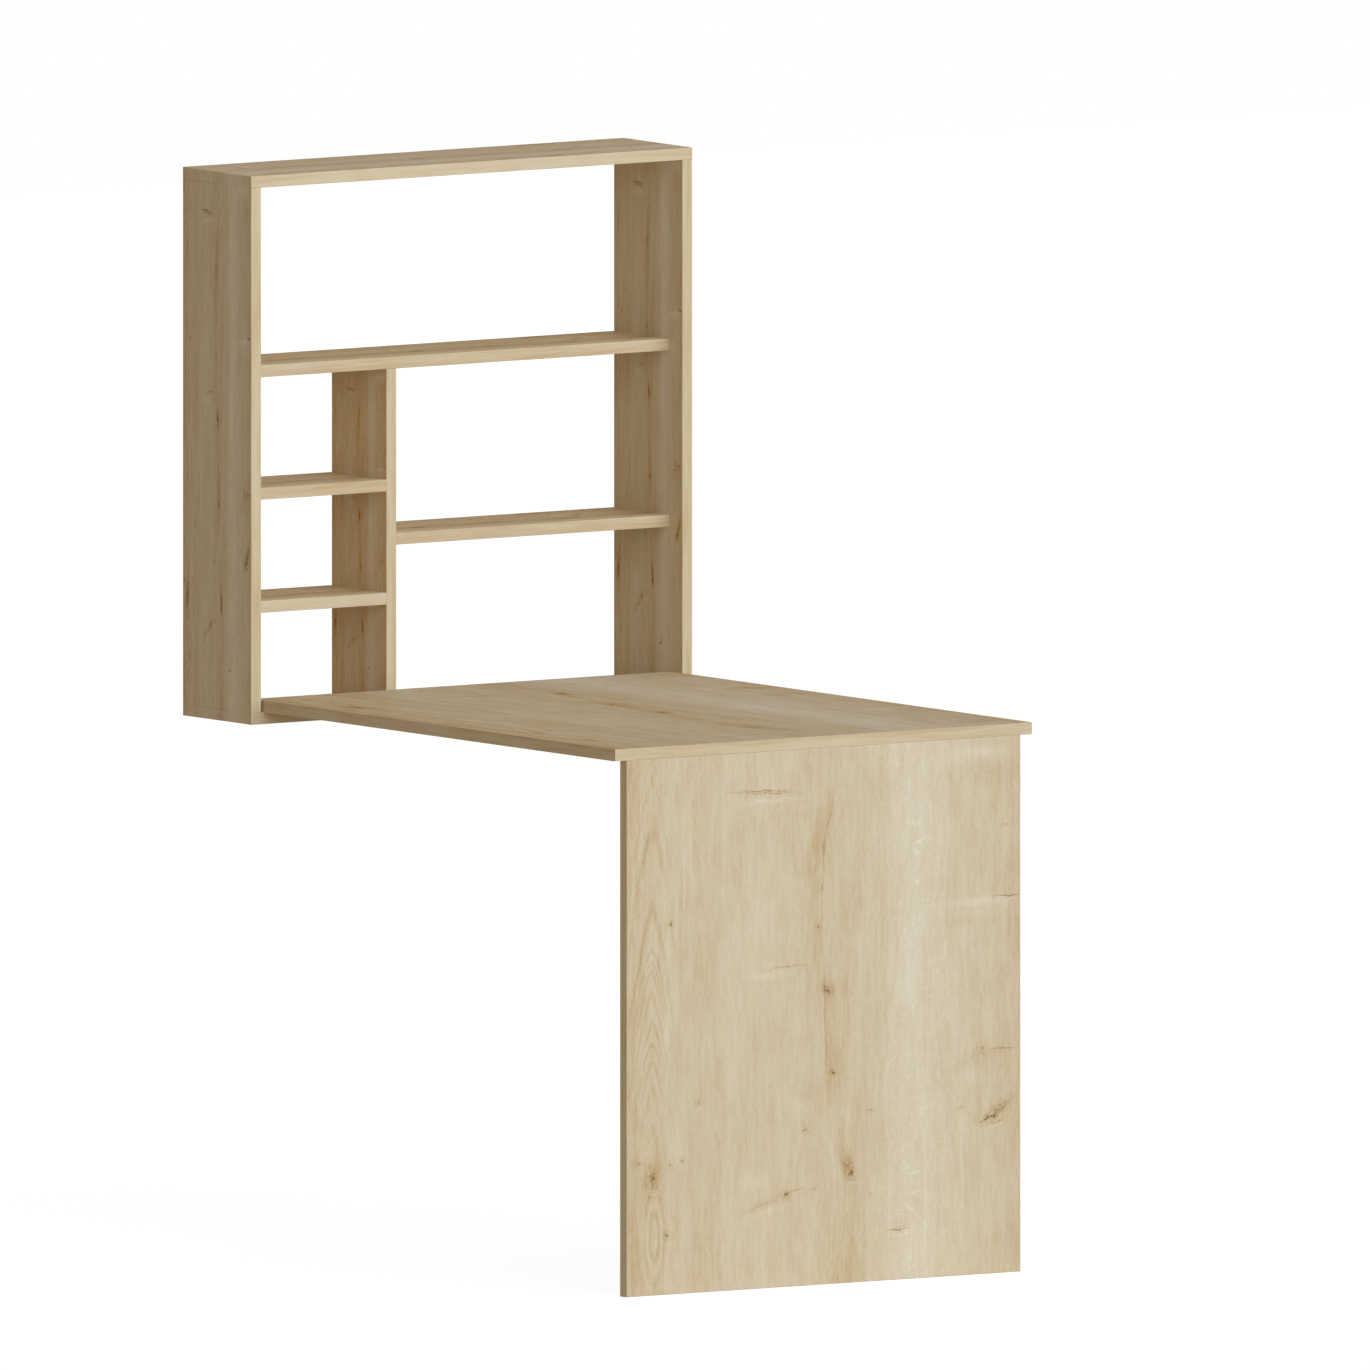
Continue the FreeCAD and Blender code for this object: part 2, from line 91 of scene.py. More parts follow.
right = Vector((math.cos(ROUND), -math.sin(ROUND), 0.0))
upward = Vector((math.sin(ROUND) * math.sin(UP), math.cos(ROUND) * math.sin(UP), math.cos(UP)))
back = right.cross(upward)
corner = Vector(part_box("bottom_edge_bands")[0])
across = (PICTURE_PIXELS / 2 - CORNER_PIXEL[0]) * METRES_PER_PIXEL
rise = (CORNER_PIXEL[1] - PICTURE_PIXELS / 2) * METRES_PER_PIXEL
aim = corner + right * across + upward * rise
turned = Matrix((right, upward, back)).transposed().to_4x4()
camera_data = bpy.data.cameras.new("desk_camera")
camera_data.type = "ORTHO"
camera_data.ortho_scale = PICTURE_PIXELS * METRES_PER_PIXEL
camera_data.clip_end = CLIP_END
camera = put_in_scene("desk_camera", camera_data)
camera.matrix_world = Matrix.Translation(aim + back * CAMERA_AWAY) @ turned
bpy.context.scene.camera = camera
print("the camera sees", round(camera_data.ortho_scale, 3), "m across")

# %% [markdown]
# ## Colours and nodes
# Paint shops and screens name colours in sRGB, while a renderer adds up linear
# light. One function turns a hex value into linear numbers, and every colour in
# this file goes through it. A second one adds one node with its settings and links,
# which keeps long patterns readable. The last three do what materials share: lay
# colours along a ramp, begin a material, and give it colour, roughness and relief.

# %% Helpers for materials
def colour(hex_code):
    channels = [int(hex_code[i:i + 2], 16) / 255 for i in (1, 3, 5)]
    linear = [c / 12.92 if c <= 0.04045 else ((c + 0.055) / 1.055) ** 2.4 for c in channels]
    return (*linear, 1.0)


def add(tree, kind, inputs=(), **settings):
    """Inputs are values, nodes or sockets, in a row or by name."""
    made = tree.nodes.new(kind)
    for name, value in settings.items():
        setattr(made, name, value)
    pairs = inputs.items() if isinstance(inputs, dict) else enumerate(inputs)
    for where, value in pairs:
        socket = made.inputs[where]
        if isinstance(value, bpy.types.Node):
            value = value.outputs[0]
        if isinstance(value, bpy.types.NodeSocket):
            tree.links.new(value, socket)
        else:
            socket.default_value = value
    return made


MATH = "ShaderNodeMath"
VECTOR_MATH = "ShaderNodeVectorMath"
MAPPING = "ShaderNodeMapping"
NOISE = "ShaderNodeTexNoise"
RAMP = "ShaderNodeValToRGB"
# A Map Range takes a value, the two ends it comes from and the two it goes to.
RANGE = "ShaderNodeMapRange"
SOFT = {"interpolation_type": "SMOOTHSTEP"}


def lay_colours(ramp, stops):
    """Each stop is a place from 0 to 1 and the hex colour found there."""
    elements = ramp.color_ramp.elements
    while len(elements) < len(stops):
        elements.new(0.5)
    for element, (where, hex_code) in zip(elements, stops):
        element.position = where
        element.color = colour(hex_code)


def new_material(name):
    """Gives the material, its tree and the socket of the object's own coordinates."""
    made = bpy.data.materials.new(name)
    made.use_nodes = True
    return made, made.node_tree, add(made.node_tree, "ShaderNodeTexCoord").outputs["Object"]


def dress(made, shown, height, roughness, strength, distance):
    """Colour and height are sockets; distance is the depth of the relief in metres."""
    tree = made.node_tree
    shader = tree.nodes["Principled BSDF"]
    bump = add(tree, "ShaderNodeBump", {"Height": height, "Strength": strength, "Distance": distance})
    tree.links.new(shown, shader.inputs["Base Color"])
    tree.links.new(bump.outputs["Normal"], shader.inputs["Normal"])
    shader.inputs["Roughness"].default_value = roughness
    return shader


print("plain oak, linear:", [round(c, 3) for c in colour("#D2C4AB")[:3]])

# %% [markdown]
# ## Light
# A studio set for a white backdrop: one very wide soft lamp stands in front, a
# little to the right and above, and meets the front boards nearly square. The rest
# is a dim warm room. So fronts read as they are painted, the left faces fall well
# below that, and the bays are lit mostly by light that has already met oak, which
# warms it. The white behind the desk could be lit too, but then it would light the
# desk. So it is the world's colour only for the rays that look at it: straight, in
# a glossy reflection or through glass.

# %% World and lamp
ROOM_LIGHT = 0.25
LAMP_LIGHT = 1.02
LAMP_SPREAD = math.radians(90)
LAMP_FROM = Vector((0.12, -1.0, 0.20))


def looking(tree):
    """1 for a ray that looks at the backdrop, 0 for one that carries light."""
    path = add(tree, "ShaderNodeLightPath").outputs
    seen = add(tree, MATH, (path["Is Camera Ray"], path["Is Glossy Ray"]), operation="MAXIMUM")
    return add(tree, MATH, (seen, path["Is Transmission Ray"]), operation="MAXIMUM")


world = bpy.data.worlds.new("studio")
bpy.context.scene.world = world
world.use_nodes = True
sky = world.node_tree
sky.nodes.clear()
seen = looking(sky)
room = add(sky, "ShaderNodeBackground", {"Color": colour("#FFE1B7"), "Strength": ROOM_LIGHT})
white = add(sky, "ShaderNodeBackground", {"Color": colour("#FFFFFF"), "Strength": 1.0})
mixed = add(sky, "ShaderNodeMixShader", (seen, room, white))
add(sky, "ShaderNodeOutputWorld", (mixed,))

softbox_light = bpy.data.lights.new("front_softbox", "SUN")
# A board square to a distant lamp of energy pi shows its own colour.
softbox_light.energy = math.pi * LAMP_LIGHT
softbox_light.color = colour("#F4FCFF")[:3]
softbox_light.angle = LAMP_SPREAD
softbox = put_in_scene("front_softbox", softbox_light)
softbox.rotation_euler = LAMP_FROM.to_track_quat("Z", "Y").to_euler()
print("room", ROOM_LIGHT, "lamp", LAMP_LIGHT)

# %% [markdown]
# ## Floor
# The floor is a wide sweep of pale paper under the leg's foot. To a ray that looks
# at it, most of its white is its own glow, and the rest is light that really falls
# on it, so the leg's soft shadow stays. To every other ray it is plain pale paper
# that throws a little warm light back up.

# %% Floor
FLOOR_Z = cad_box[0][2]
FLOOR_REACH = 12.0
FLOOR_GLOW = 0.93

floor_mesh = bpy.data.meshes.new("floor")
floor_corners = [(x * FLOOR_REACH, y * FLOOR_REACH, FLOOR_Z) for x, y in ((-1, -1), (1, -1), (1, 1), (-1, 1))]
floor_mesh.from_pydata(floor_corners, [], [(0, 1, 2, 3)])
floor = put_in_scene("floor", floor_mesh)
# Matt paper: an even pale face without shine.
floor_material = bpy.data.materials.new("pale_sweep")
floor_material.use_nodes = True
sweep = floor_material.node_tree
sweep.nodes.clear()
seen = looking(sweep)
lit = add(sweep, "ShaderNodeBsdfDiffuse", {"Color": colour("#E2DAC6")})
shaded = add(sweep, "ShaderNodeBsdfDiffuse", {"Color": colour("#808080")})
glow = add(sweep, "ShaderNodeEmission", {"Color": colour("#FFFFFF"), "Strength": FLOOR_GLOW})
shown = add(sweep, "ShaderNodeAddShader", (shaded, glow))
mixed = add(sweep, "ShaderNodeMixShader", (seen, lit, shown))
# From below the floor isn't there, so that the desk's underside can be looked at.
below = add(sweep, "ShaderNodeNewGeometry").outputs["Backfacing"]
clear = add(sweep, "ShaderNodeBsdfTransparent")
mixed = add(sweep, "ShaderNodeMixShader", (below, mixed, clear))
add(sweep, "ShaderNodeOutputMaterial", (mixed,))
floor_mesh.materials.append(floor_material)
print("floor at z =", round(FLOOR_Z, 4))

# %% [markdown]
# ## The oak print
# Melamine board is chipboard faced with printed paper under clear resin. The
# print is one sheet of rustic oak: a dark heart line that wanders down the middle,
# a cathedral figure near the left edge, pale bands, knots with brown haloes, short
# cross scars, and pores along the grain. One noise for all of it would look like
# no tree at all, so the sheet is drawn feature by feature, in millimetres, once,
# as a node group, and each board maps its own face onto it. First come the marks.

# %% Sheet size, knots and scars
SHEET_WIDE = 632.0
SHEET_LONG = 714.0

# share across and down the sheet, half width and half length in mm, lean in degrees, depth of tone
KNOTS = [
    (.508, .451, 6.5, 6.5, 0, .36), (.57, .796, 6, 7, 0, .31), (.065, .785, 9, 15, 0, .27),
    (.922, .705, 13, 6.5, 10, .56), (.524, .605, 3.4, 3.4, 0, .52), (.182, .646, 4.5, 4.5, 0, .34),
    (.11, .312, 4.5, 3, 0, .5), (.451, .712, 6, 2.4, 15, .42), (.848, .687, 5.5, 2.6, 10, .38),
    (.905, .579, 4.5, 4, 0, .3), (.405, .83, 5, 4, 12, .48), (.478, .818, 3.4, 2.4, 0, .36),
    (.617, .837, 3.2, 2.4, 0, .28), (.141, .753, 3.4, 2.8, 0, .42), (.11, .76, 4.2, 3.2, 0, .4),
    (.031, .752, 5, 3.6, 0, .26), (.101, .89, 4.2, 3.4, 0, .44), (.495, .26, 3.4, 4.2, 0, .3),
    (.486, .33, 2.8, 5, 0, .28), (.62, .013, 3.2, 2.6, 0, .3), (.965, .167, 5, 1.8, 0, .26),
]
SCARS = [
    (.352, .073, 52, 1.5, -3, .36), (.362, .078, 44, 1.3, -2, .32), (.4, .404, 42, 1.4, 2, .32),
    (.965, .296, 30, 1.3, 0, .44), (.69, .905, 24, 2.2, 2, .46), (.7, .899, 18, 1.2, 4, .3),
    (.62, .682, 16, 2, -4, .2), (.345, .846, 34, 3, 12, .15), (.955, .581, 26, 1.5, 0, .26),
    (.43, .822, 15, 1.8, 14, .28), (.3, .86, 20, 3, 12, .12), (.91, .711, 15, 1.5, 16, .4),
    (.29, .074, 30, 1.2, 0, .22), (.945, .716, 12, 1.5, 20, .3),
]
print("knots:", len(KNOTS), "scars:", len(SCARS))

# %% Brown smears and pale marks, six numbers each
BROWN_SMEARS = [
    (.955, .687, 20, 9, 30, .16), (.285, .215, 6, 34, 0, .1), (.89, .068, 74, 18, 0, .1),
    (.56, .77, 13, 24, 0, .12), (.19, .62, 5, 20, 0, .12), (.065, .78, 26, 24, 0, .09),
    (.55, .45, 34, 14, 0, .08), (.87, .6, 34, 12, 20, .08), (.358, .076, 48, 3.2, -2, .14),
    (.02, .88, 20, 60, 0, .08), (.9, .19, 46, 92, 0, .04), (.57, .93, 22, 60, 0, .08),
    (.4, .12, 60, 4, 3, .06), (.86, .34, 60, 8, 0, .08), (.35, .84, 46, 7, 12, .12),
    (.37, .245, 5, 30, 0, .14), (.705, .892, 22, 3, 2, .1), (.93, .586, 40, 4, 4, .08),
    (.559, .776, 9, 17, -15, .16), (.06, .76, 13, 8, 0, .1), (.952, .692, 14, 4, 30, .14),
]
PALE_MARKS = [
    (.37, .092, 62, 4.6, 2, .2), (.36, .418, 48, 6, 2, .16), (.89, .305, 80, 7, 2, .22),
    (.9, .028, 60, 11, 0, .2), (.74, .186, 13, 3, 25, .42), (.737, .262, 6, 3, -50, .36),
    (.725, .15, 14, 5, 0, .22), (.735, .205, 8, 4, -30, .26), (.732, .8, 15, 1.6, 12, .34),
    (.745, .818, 10, 1.5, -30, .32), (.73, .838, 12, 1.6, 14, .32), (.715, .866, 14, 1.6, -38, .36),
    (.735, .88, 10, 1.4, -50, .3), (.76, .905, 9, 1.4, -70, .26), (.69, .87, 10, 1.4, 6, .26),
    (.7, .915, 20, 1.6, 2, .2), (.62, .01, 4, 16, 0, .2), (.27, .58, 20, 92, 0, .1),
    (.35, .3, 24, 110, 0, .08), (.12, .7, 16, 60, 0, .12), (.72, .45, 16, 120, 0, .1),
    (.88, .63, 26, 16, 0, .1), (.068, .812, 14, 3, 0, .24), (.33, .8, 30, 14, 0, .12),
    (.45, .67, 20, 16, 0, .12), (.15, .87, 12, 60, 0, .1), (.666, .86, 1.3, 105, 0, .22),
    (.757, .83, 1.5, 125, 0, .2), (.852, .8, 1.3, 140, 0, .18), (.497, .51, 1.3, 78, 0, .24),
    (.6, .3, 1.2, 60, 0, .16), (.21, .42, 1.2, 90, 0, .16), (.64, .4, 1.1, 110, 0, .16),
    (.125, .3, 1.2, 50, 0, .16), (.56, .7, 1.2, 30, 0, .18), (.145, .21, 1.4, 120, 0, .2),
    (.165, .18, 1.2, 90, 0, .16), (.355, .64, 1.3, 90, 0, .18), (.572, .814, 10, 3, 0, .2),
    (.508, .45, 2.4, 2.4, 0, .4), (.93, .724, 16, 2.6, 14, .22), (.924, .703, 6.5, 2.8, 12, .5),
    (.064, .806, 13, 1.6, 0, .22), (.182, .656, 10, 2, 4, .16), (.35, .86, 40, 4, 12, .12),
    (.1, .505, 8, 30, 0, .12),
]
print("brown smears:", len(BROWN_SMEARS), "pale marks:", len(PALE_MARKS))

# %% [markdown]
# The group adds everything to one number, the tone: more is pale, less is brown.
# A ramp turns the tone into oak at the end, so every figure takes its colour from
# the same inks. The group's settings let one print serve every board.

# %% The group and its sockets
USUAL_SETTINGS = {"Marks": 1.0, "Contrast": 1.0, "Tone": 0.54, "Saturation": 1.0, "Hue": 0.5}


def open_socket(group, name, kind, in_out="INPUT"):
    return group.interface.new_socket(name, in_out=in_out, socket_type="NodeSocket" + kind)


oak = bpy.data.node_groups.new("oak_print", "ShaderNodeTree")
for name in ("Sheet", "Fine"):
    open_socket(oak, name, "Vector")
for name, usual in USUAL_SETTINGS.items():
    open_socket(oak, name, "Float").default_value = usual
open_socket(oak, "Color", "Color", "OUTPUT")
open_socket(oak, "Height", "Float", "OUTPUT")
entry = add(oak, "NodeGroupInput").outputs
print("settings of the print:", USUAL_SETTINGS)

# %% [markdown]
# A figure drawn straight onto the sheet would be a true ellipse, and no tree has
# one. So the place itself wavers: a slow noise moves each point a few millimetres
# before anything looks it up, and a finer one frays marks along the grain.

# %% Where a point lies on the sheet
# A noise scale counts per millimetre: 0.04 is one wave in 25 mm. A reach is in millimetres.
WAVER_SCALE = (0.04, 0.014, 1.0)
WAVER_REACH = (8.0, 12.0, 0.0)
RAGGED_SCALE = (0.25, 0.045, 1.0)
RAGGED_REACH = (3.0, 10.0, 0.0)
KNOT_RAGGED = (0.3, 0.3, 0.0)
NOISE_MIDDLE = (0.5, 0.5, 0.5)
# Most of a noise lies between these.
NOISE_SPREAD = (0.3, 0.7)

# Past its edge the sheet runs back the other way, so a strip finds print anywhere.
point = add(oak, "ShaderNodeSeparateXYZ", (entry["Sheet"],)).outputs
wrapped_x = add(oak, MATH, (point["X"], SHEET_WIDE), operation="PINGPONG")
wrapped_y = add(oak, MATH, (point["Y"], SHEET_LONG), operation="PINGPONG")
flat = add(oak, "ShaderNodeCombineXYZ", (wrapped_x, wrapped_y))
waver = add(oak, MAPPING, {"Vector": flat, "Scale": WAVER_SCALE})
waver = add(oak, NOISE, {"Vector": waver, "Scale": 1.0, "Detail": 3.0, "Roughness": 0.55})
waver = add(oak, VECTOR_MATH, (waver.outputs["Color"], NOISE_MIDDLE), operation="SUBTRACT")
swing = add(oak, "ShaderNodeSeparateXYZ", (waver,)).outputs["Z"]
waver = add(oak, VECTOR_MATH, (waver, WAVER_REACH), operation="MULTIPLY")
even = add(oak, VECTOR_MATH, (flat, waver), operation="ADD")
ragged = add(oak, MAPPING, {"Vector": flat, "Scale": RAGGED_SCALE})
ragged = add(oak, NOISE, {"Vector": ragged, "Scale": 1.0, "Detail": 2.0})
ragged = add(oak, VECTOR_MATH, (ragged.outputs["Color"], NOISE_MIDDLE), operation="SUBTRACT")
ragged = add(oak, VECTOR_MATH, (ragged, RAGGED_REACH), operation="MULTIPLY")
frayed = add(oak, VECTOR_MATH, (even, ragged), operation="ADD")
# A knot is hard and frays much less.
knot_ragged = add(oak, VECTOR_MATH, (ragged, KNOT_RAGGED), operation="MULTIPLY")
knot_place = add(oak, VECTOR_MATH, (even, knot_ragged), operation="ADD")
even_parts = add(oak, "ShaderNodeSeparateXYZ", (even,)).outputs
sheet_x, sheet_y = even_parts["X"], even_parts["Y"]
share_x = add(oak, MATH, (sheet_x, SHEET_WIDE), operation="DIVIDE")
share_y = add(oak, MATH, (sheet_y, SHEET_LONG), operation="DIVIDE")
print("nodes that find the place:", len(oak.nodes))

# %% [markdown]
# ## Marks
# A mark could be a painted texture, but an ellipse of tone stays sharp at any
# distance. A Mapping node of the texture kind carries the sheet into the ellipse's
# own coordinates, a round gradient falls from one in its middle to nothing at its
# reach, and a Map Range gives it a core and a soft rim.

# %% One figure
FIGURE_REACH = 1.5


def figure(where, spot, inner, outer, reach=FIGURE_REACH):
    """An ellipse of tone; inner, outer and reach are counted in its own half sizes."""
    spot_x, spot_y, half_x, half_y, lean, depth = spot
    local = add(oak, MAPPING, {
        "Vector": where, "Location": (spot_x * SHEET_WIDE, spot_y * SHEET_LONG, 0.0),
        "Rotation": (0.0, 0.0, -math.radians(lean)), "Scale": (half_x * reach, half_y * reach, 1.0)},
        vector_type="TEXTURE")
    near = add(oak, "ShaderNodeTexGradient", (local,), gradient_type="SPHERICAL").outputs["Fac"]
    rims = (1.0 - outer / reach, 1.0 - inner / reach)
    tone = add(oak, RANGE, (near, *rims, 0.0, depth), **SOFT)
    return local, near, tone


print("a figure reaches", FIGURE_REACH, "of its half sizes")

# %% [markdown]
# A knot gets a second, wider and weaker ring, its halo. The four largest also
# push the grain aside, as a branch does in a living trunk. Each mark is added to a
# running sum as it is made, because a shader can hold only so many numbers at once.

# %% Knots
KNOT_REACH = 3.0
KNOT_CORE = (0.10, 0.95)
CORE_WEIGHT = 0.8
HALO_FULL = 0.83
HALO_WEIGHT = 0.30
PUSHING_KNOTS = 4
KNOT_PUSH = 2.4

marked = 0.0
push = 0.0
for number, spot in enumerate(KNOTS):
    local, near, core = figure(knot_place, spot, *KNOT_CORE, KNOT_REACH)
    half_wide, depth = spot[2], spot[5]
    halo = add(oak, RANGE, (near, 0.0, HALO_FULL, 0.0, depth * HALO_WEIGHT), **SOFT)
    marked = add(oak, MATH, (core, -CORE_WEIGHT, marked), operation="MULTIPLY_ADD")
    marked = add(oak, MATH, (halo, -1.0, marked), operation="MULTIPLY_ADD")
    if number < PUSHING_KNOTS:
        side = add(oak, "ShaderNodeSeparateXYZ", (local,)).outputs["X"]
        fade = add(oak, RANGE, (near, 0.0, 1.0, 0.0, half_wide * KNOT_PUSH), **SOFT)
        push = add(oak, MATH, (side, fade, push), operation="MULTIPLY_ADD")
print("nodes with the knots drawn:", len(oak.nodes))

# %% Scars, brown smears and pale marks
# marks, where they are looked up, weight (below nothing is brown), inner and outer rim.
# Scars and pale marks keep a clean line, so only the smears are frayed.
MARK_KINDS = [(SCARS, even, -1.0, 0.3, 1.1), (BROWN_SMEARS, frayed, -1.0, 0.0, 1.5),
              (PALE_MARKS, even, 1.0, 0.0, 1.3)]

for spots, where, weight, inner, outer in MARK_KINDS:
    for spot in spots:
        tone = figure(where, spot, inner, outer)[2]
        marked = add(oak, MATH, (tone, weight, marked), operation="MULTIPLY_ADD")
print("marks on the sheet:", len(KNOTS) + sum(len(kind[0]) for kind in MARK_KINDS))

# %% [markdown]
# ## Heart, crack and bands
# The heart is the oldest wood: one brown line down the whole sheet that moves,
# widens and darkens as it goes, with a crisp dark crack beside it. Noise can't be
# told to do that in the right places, so each habit is a curve down the sheet,
# drawn through points. A last curve runs across the sheet and gives the broad
# bands: brown at both edges, palest at three quarters of the width.

# %% Curves down and across the sheet
# share down the sheet, and share across it
CRACK_PLACE = [(0, .53), (.08, .526), (.13, .516), (.18, .503), (.25, .497), (.34, .495), (.42, .499),
               (.47, .503), (.55, .504), (.62, .507), (.68, .515), (.73, .523), (.78, .532), (.85, .536),
               (1, .536)]
HEART_PLACE = [(0, .52), (.05, .52), (.09, .512), (.13, .502), (.18, .488), (.23, .477), (.28, .481),
               (.34, .485), (.4, .492), (.45, .506), (.5, .512), (.56, .52), (.62, .526),
               (.68, .531), (.74, .545), (.8, .562), (.86, .567), (1, .57)]
# share down the sheet, and half width in tenths of the sheet
HEART_WIDTH = [(0, .12), (.07, .14), (.12, .2), (.22, .3), (.3, .2), (.4, .16), (.47, .24),
               (.56, .26), (.63, .22), (.7, .12), (.76, .22), (.82, .26), (.9, .34), (1, .4)]
# share down the sheet, and depth of the brown
HEART_DEPTH = [(0, .3), (.07, .4), (.11, .9), (.22, .85), (.29, .5), (.38, .45), (.45, .8), (.56, .8),
               (.63, .7), (.69, .4), (.74, .3), (.79, .4), (.87, .3), (.95, .35), (1, .4)]
# share across the sheet, and tone, where a half changes nothing
BANDS_ACROSS = [(0, .37), (.03, .41), (.075, .45), (.125, .5), (.175, .465), (.24, .5), (.3, .53),
                (.4, .51), (.46, .5), (.56, .485), (.62, .515), (.66, .57), (.7, .66), (.74, .69),
                (.78, .64), (.83, .57), (.87, .55), (.93, .5), (.975, .45), (1, .4)]


def draw_through(mapping, points):
    """Makes a curve run through the points; the first and the last are its ends."""
    line = mapping.curves[0].points
    line[0].location = points[0]
    line[1].location = points[-1]
    for between in points[1:-1]:
        line.new(*between)
    mapping.update()


drawn = []
for share, points in ((share_y, CRACK_PLACE), (share_y, HEART_PLACE), (share_y, HEART_WIDTH),
                      (share_y, HEART_DEPTH), (share_x, BANDS_ACROSS)):
    curve = add(oak, "ShaderNodeFloatCurve", {"Value": share})
    draw_through(curve.mapping, points)
    drawn.append(curve)
crack_x, heart_x, heart_wide, heart_dark, bands = drawn
print("curves drawn:", len(drawn))

# %% Heart line, crack and bands
# The heart fades from its full tone to nothing between these two half widths.
HEART_RIM = (0.2, 1.5)
HEART_TONE = 0.175
TENTHS = 10.0
CRACK_HALF = 0.004
CRACK_TONE = 0.15

off = add(oak, MATH, (share_x, heart_x), operation="SUBTRACT")
off = add(oak, MATH, (off,), operation="ABSOLUTE")
off = add(oak, MATH, (off, TENTHS), operation="MULTIPLY")
off = add(oak, MATH, (off, heart_wide), operation="DIVIDE")
heart = add(oak, RANGE, (off, *HEART_RIM, HEART_TONE, 0.0), **SOFT)
heart = add(oak, MATH, (heart, heart_dark), operation="MULTIPLY")
plain = add(oak, MATH, (heart, -1.0, 0.0), operation="MULTIPLY_ADD")
crack = add(oak, MATH, (share_x, crack_x), operation="SUBTRACT")
crack = add(oak, MATH, (crack,), operation="ABSOLUTE")
crack = add(oak, RANGE, (crack, 0.0, CRACK_HALF, CRACK_TONE, 0.0), **SOFT)
crack = add(oak, MATH, (crack, heart_dark), operation="MULTIPLY")
marked = add(oak, MATH, (crack, -1.0, marked), operation="MULTIPLY_ADD")
bands = add(oak, MATH, (bands, 0.5), operation="SUBTRACT")
plain = add(oak, MATH, (plain, bands), operation="ADD")
print("the crack is", round(2 * CRACK_HALF * SHEET_WIDE, 1), "mm wide")

# %% [markdown]
# ## Growth rings
# Cathedral figure is where the saw met the growth rings at a slant. A stack of
# ellipses looks like onions, so the rings are counted instead. A ring shows as a
# pointed arch, V = c + k |U|^1.5, so the number V - k |U|^1.5 says on which arch a
# point lies. A curve counts the rings down the sheet, wide years and narrow years
# as they came, and a cosine of the count draws them. Raising it to a power thins
# the dark lines, and a swing from the waver keeps the arches from looking ruled.

# %% Cathedral arches
RING_TIPS = [(0, 0), (.042, .07), (.131, .14), (.287, .21), (.354, .28), (.377, .35), (.4, .42),
             (.444, .49), (.493, .56), (.525, .63), (.564, .7), (.62, .77), (.69, .84), (.8, .92),
             (1, 1)]
RING_COUNT = 14.3
RING_SWING = 45.0
RING_POINTED = 1.5
RING_THIN = 3.0
# About the mean of a cosine so thinned: taken off, it leaves the wood as pale as it was.
RING_MEAN = 0.3
ARCH_RIM = (0.3, 1.2)
# middle across and down in mm, bend, half width and half length of the figure in mm, depth
ARCHES = [(40.0, 270.0, 0.70, 42.0, 300.0, 0.17), (362.0, 655.0, 0.85, 24.0, 80.0, 0.13)]

pushed_x = add(oak, MATH, (sheet_x, push), operation="SUBTRACT")
for centre_x, centre_y, bend, half_x, half_y, depth in ARCHES:
    bow = add(oak, MATH, (pushed_x, centre_x), operation="SUBTRACT")
    bow = add(oak, MATH, (bow,), operation="ABSOLUTE")
    bow = add(oak, MATH, (bow, RING_POINTED), operation="POWER")
    bow = add(oak, MATH, (bow, bend), operation="MULTIPLY")
    arch = add(oak, MATH, (sheet_y, bow), operation="SUBTRACT")
    arch = add(oak, MATH, (swing, RING_SWING, arch), operation="MULTIPLY_ADD")
    arch = add(oak, MATH, (arch, SHEET_LONG), operation="DIVIDE")
    count = add(oak, "ShaderNodeFloatCurve", {"Value": arch})
    draw_through(count.mapping, RING_TIPS)
    arch = add(oak, MATH, (count, 2 * math.pi * RING_COUNT), operation="MULTIPLY")
    arch = add(oak, MATH, (arch,), operation="COSINE")
    arch = add(oak, MATH, (arch, 0.5, 0.5), operation="MULTIPLY_ADD")
    arch = add(oak, MATH, (arch, RING_THIN), operation="POWER")
    arch = add(oak, MATH, (arch, RING_MEAN), operation="SUBTRACT")
    spot = (centre_x / SHEET_WIDE, centre_y / SHEET_LONG, half_x, half_y, 0, depth)
    window = figure(frayed, spot, *ARCH_RIM)[2]
    arch = add(oak, MATH, (arch, window), operation="MULTIPLY")
    plain = add(oak, MATH, (plain, arch), operation="SUBTRACT")
print("figures of arches:", len(ARCHES))

# %% The eye at the foot of the arches
# Closed rings about one spot, where the saw just touched the top of a ring.
EYE = (0.070, 0.890, 15.0, 58.0, 0, 0.10)
EYE_RIM = (0.9, FIGURE_REACH)
EYE_RINGS = 16.5

near, eye = figure(frayed, EYE, *EYE_RIM)[1:]
eye_rings = add(oak, MATH, (near, EYE_RINGS), operation="MULTIPLY")
eye_rings = add(oak, MATH, (eye_rings,), operation="SINE")
plain = add(oak, MATH, (eye_rings, eye, plain), operation="MULTIPLY_ADD")
print("rings in the eye:", round(EYE_RINGS / (2 * math.pi), 1))

# %% [markdown]
# ## Grain
# Between the figures the wood is streaks in streaks: noise stretched along the
# grain at four widths, and steepened, because a streak of oak has sides and doesn't
# fade like smoke. The finest are the pores. Real pores are 0.3 mm wide; they are
# drawn a millimetre wide so that they show.

# %% Streaks, pores and clouds
# where the noise lies, mm across, mm along, depth
grain_place = add(oak, "ShaderNodeCombineXYZ", (pushed_x, sheet_y, 0.0))
STREAKS = [(grain_place, 19.0, 180.0, 0.040), (grain_place, 7.0, 50.0, 0.040),
           (grain_place, 2.6, 20.0, 0.026), (entry["Fine"], 1.1, 8.0, 0.042)]
STREAK_SIDES = (0.36, 0.64)
CLOUD_SCALE = (1 / 45, 1 / 80, 1.0)
CLOUD_TONE = 0.19

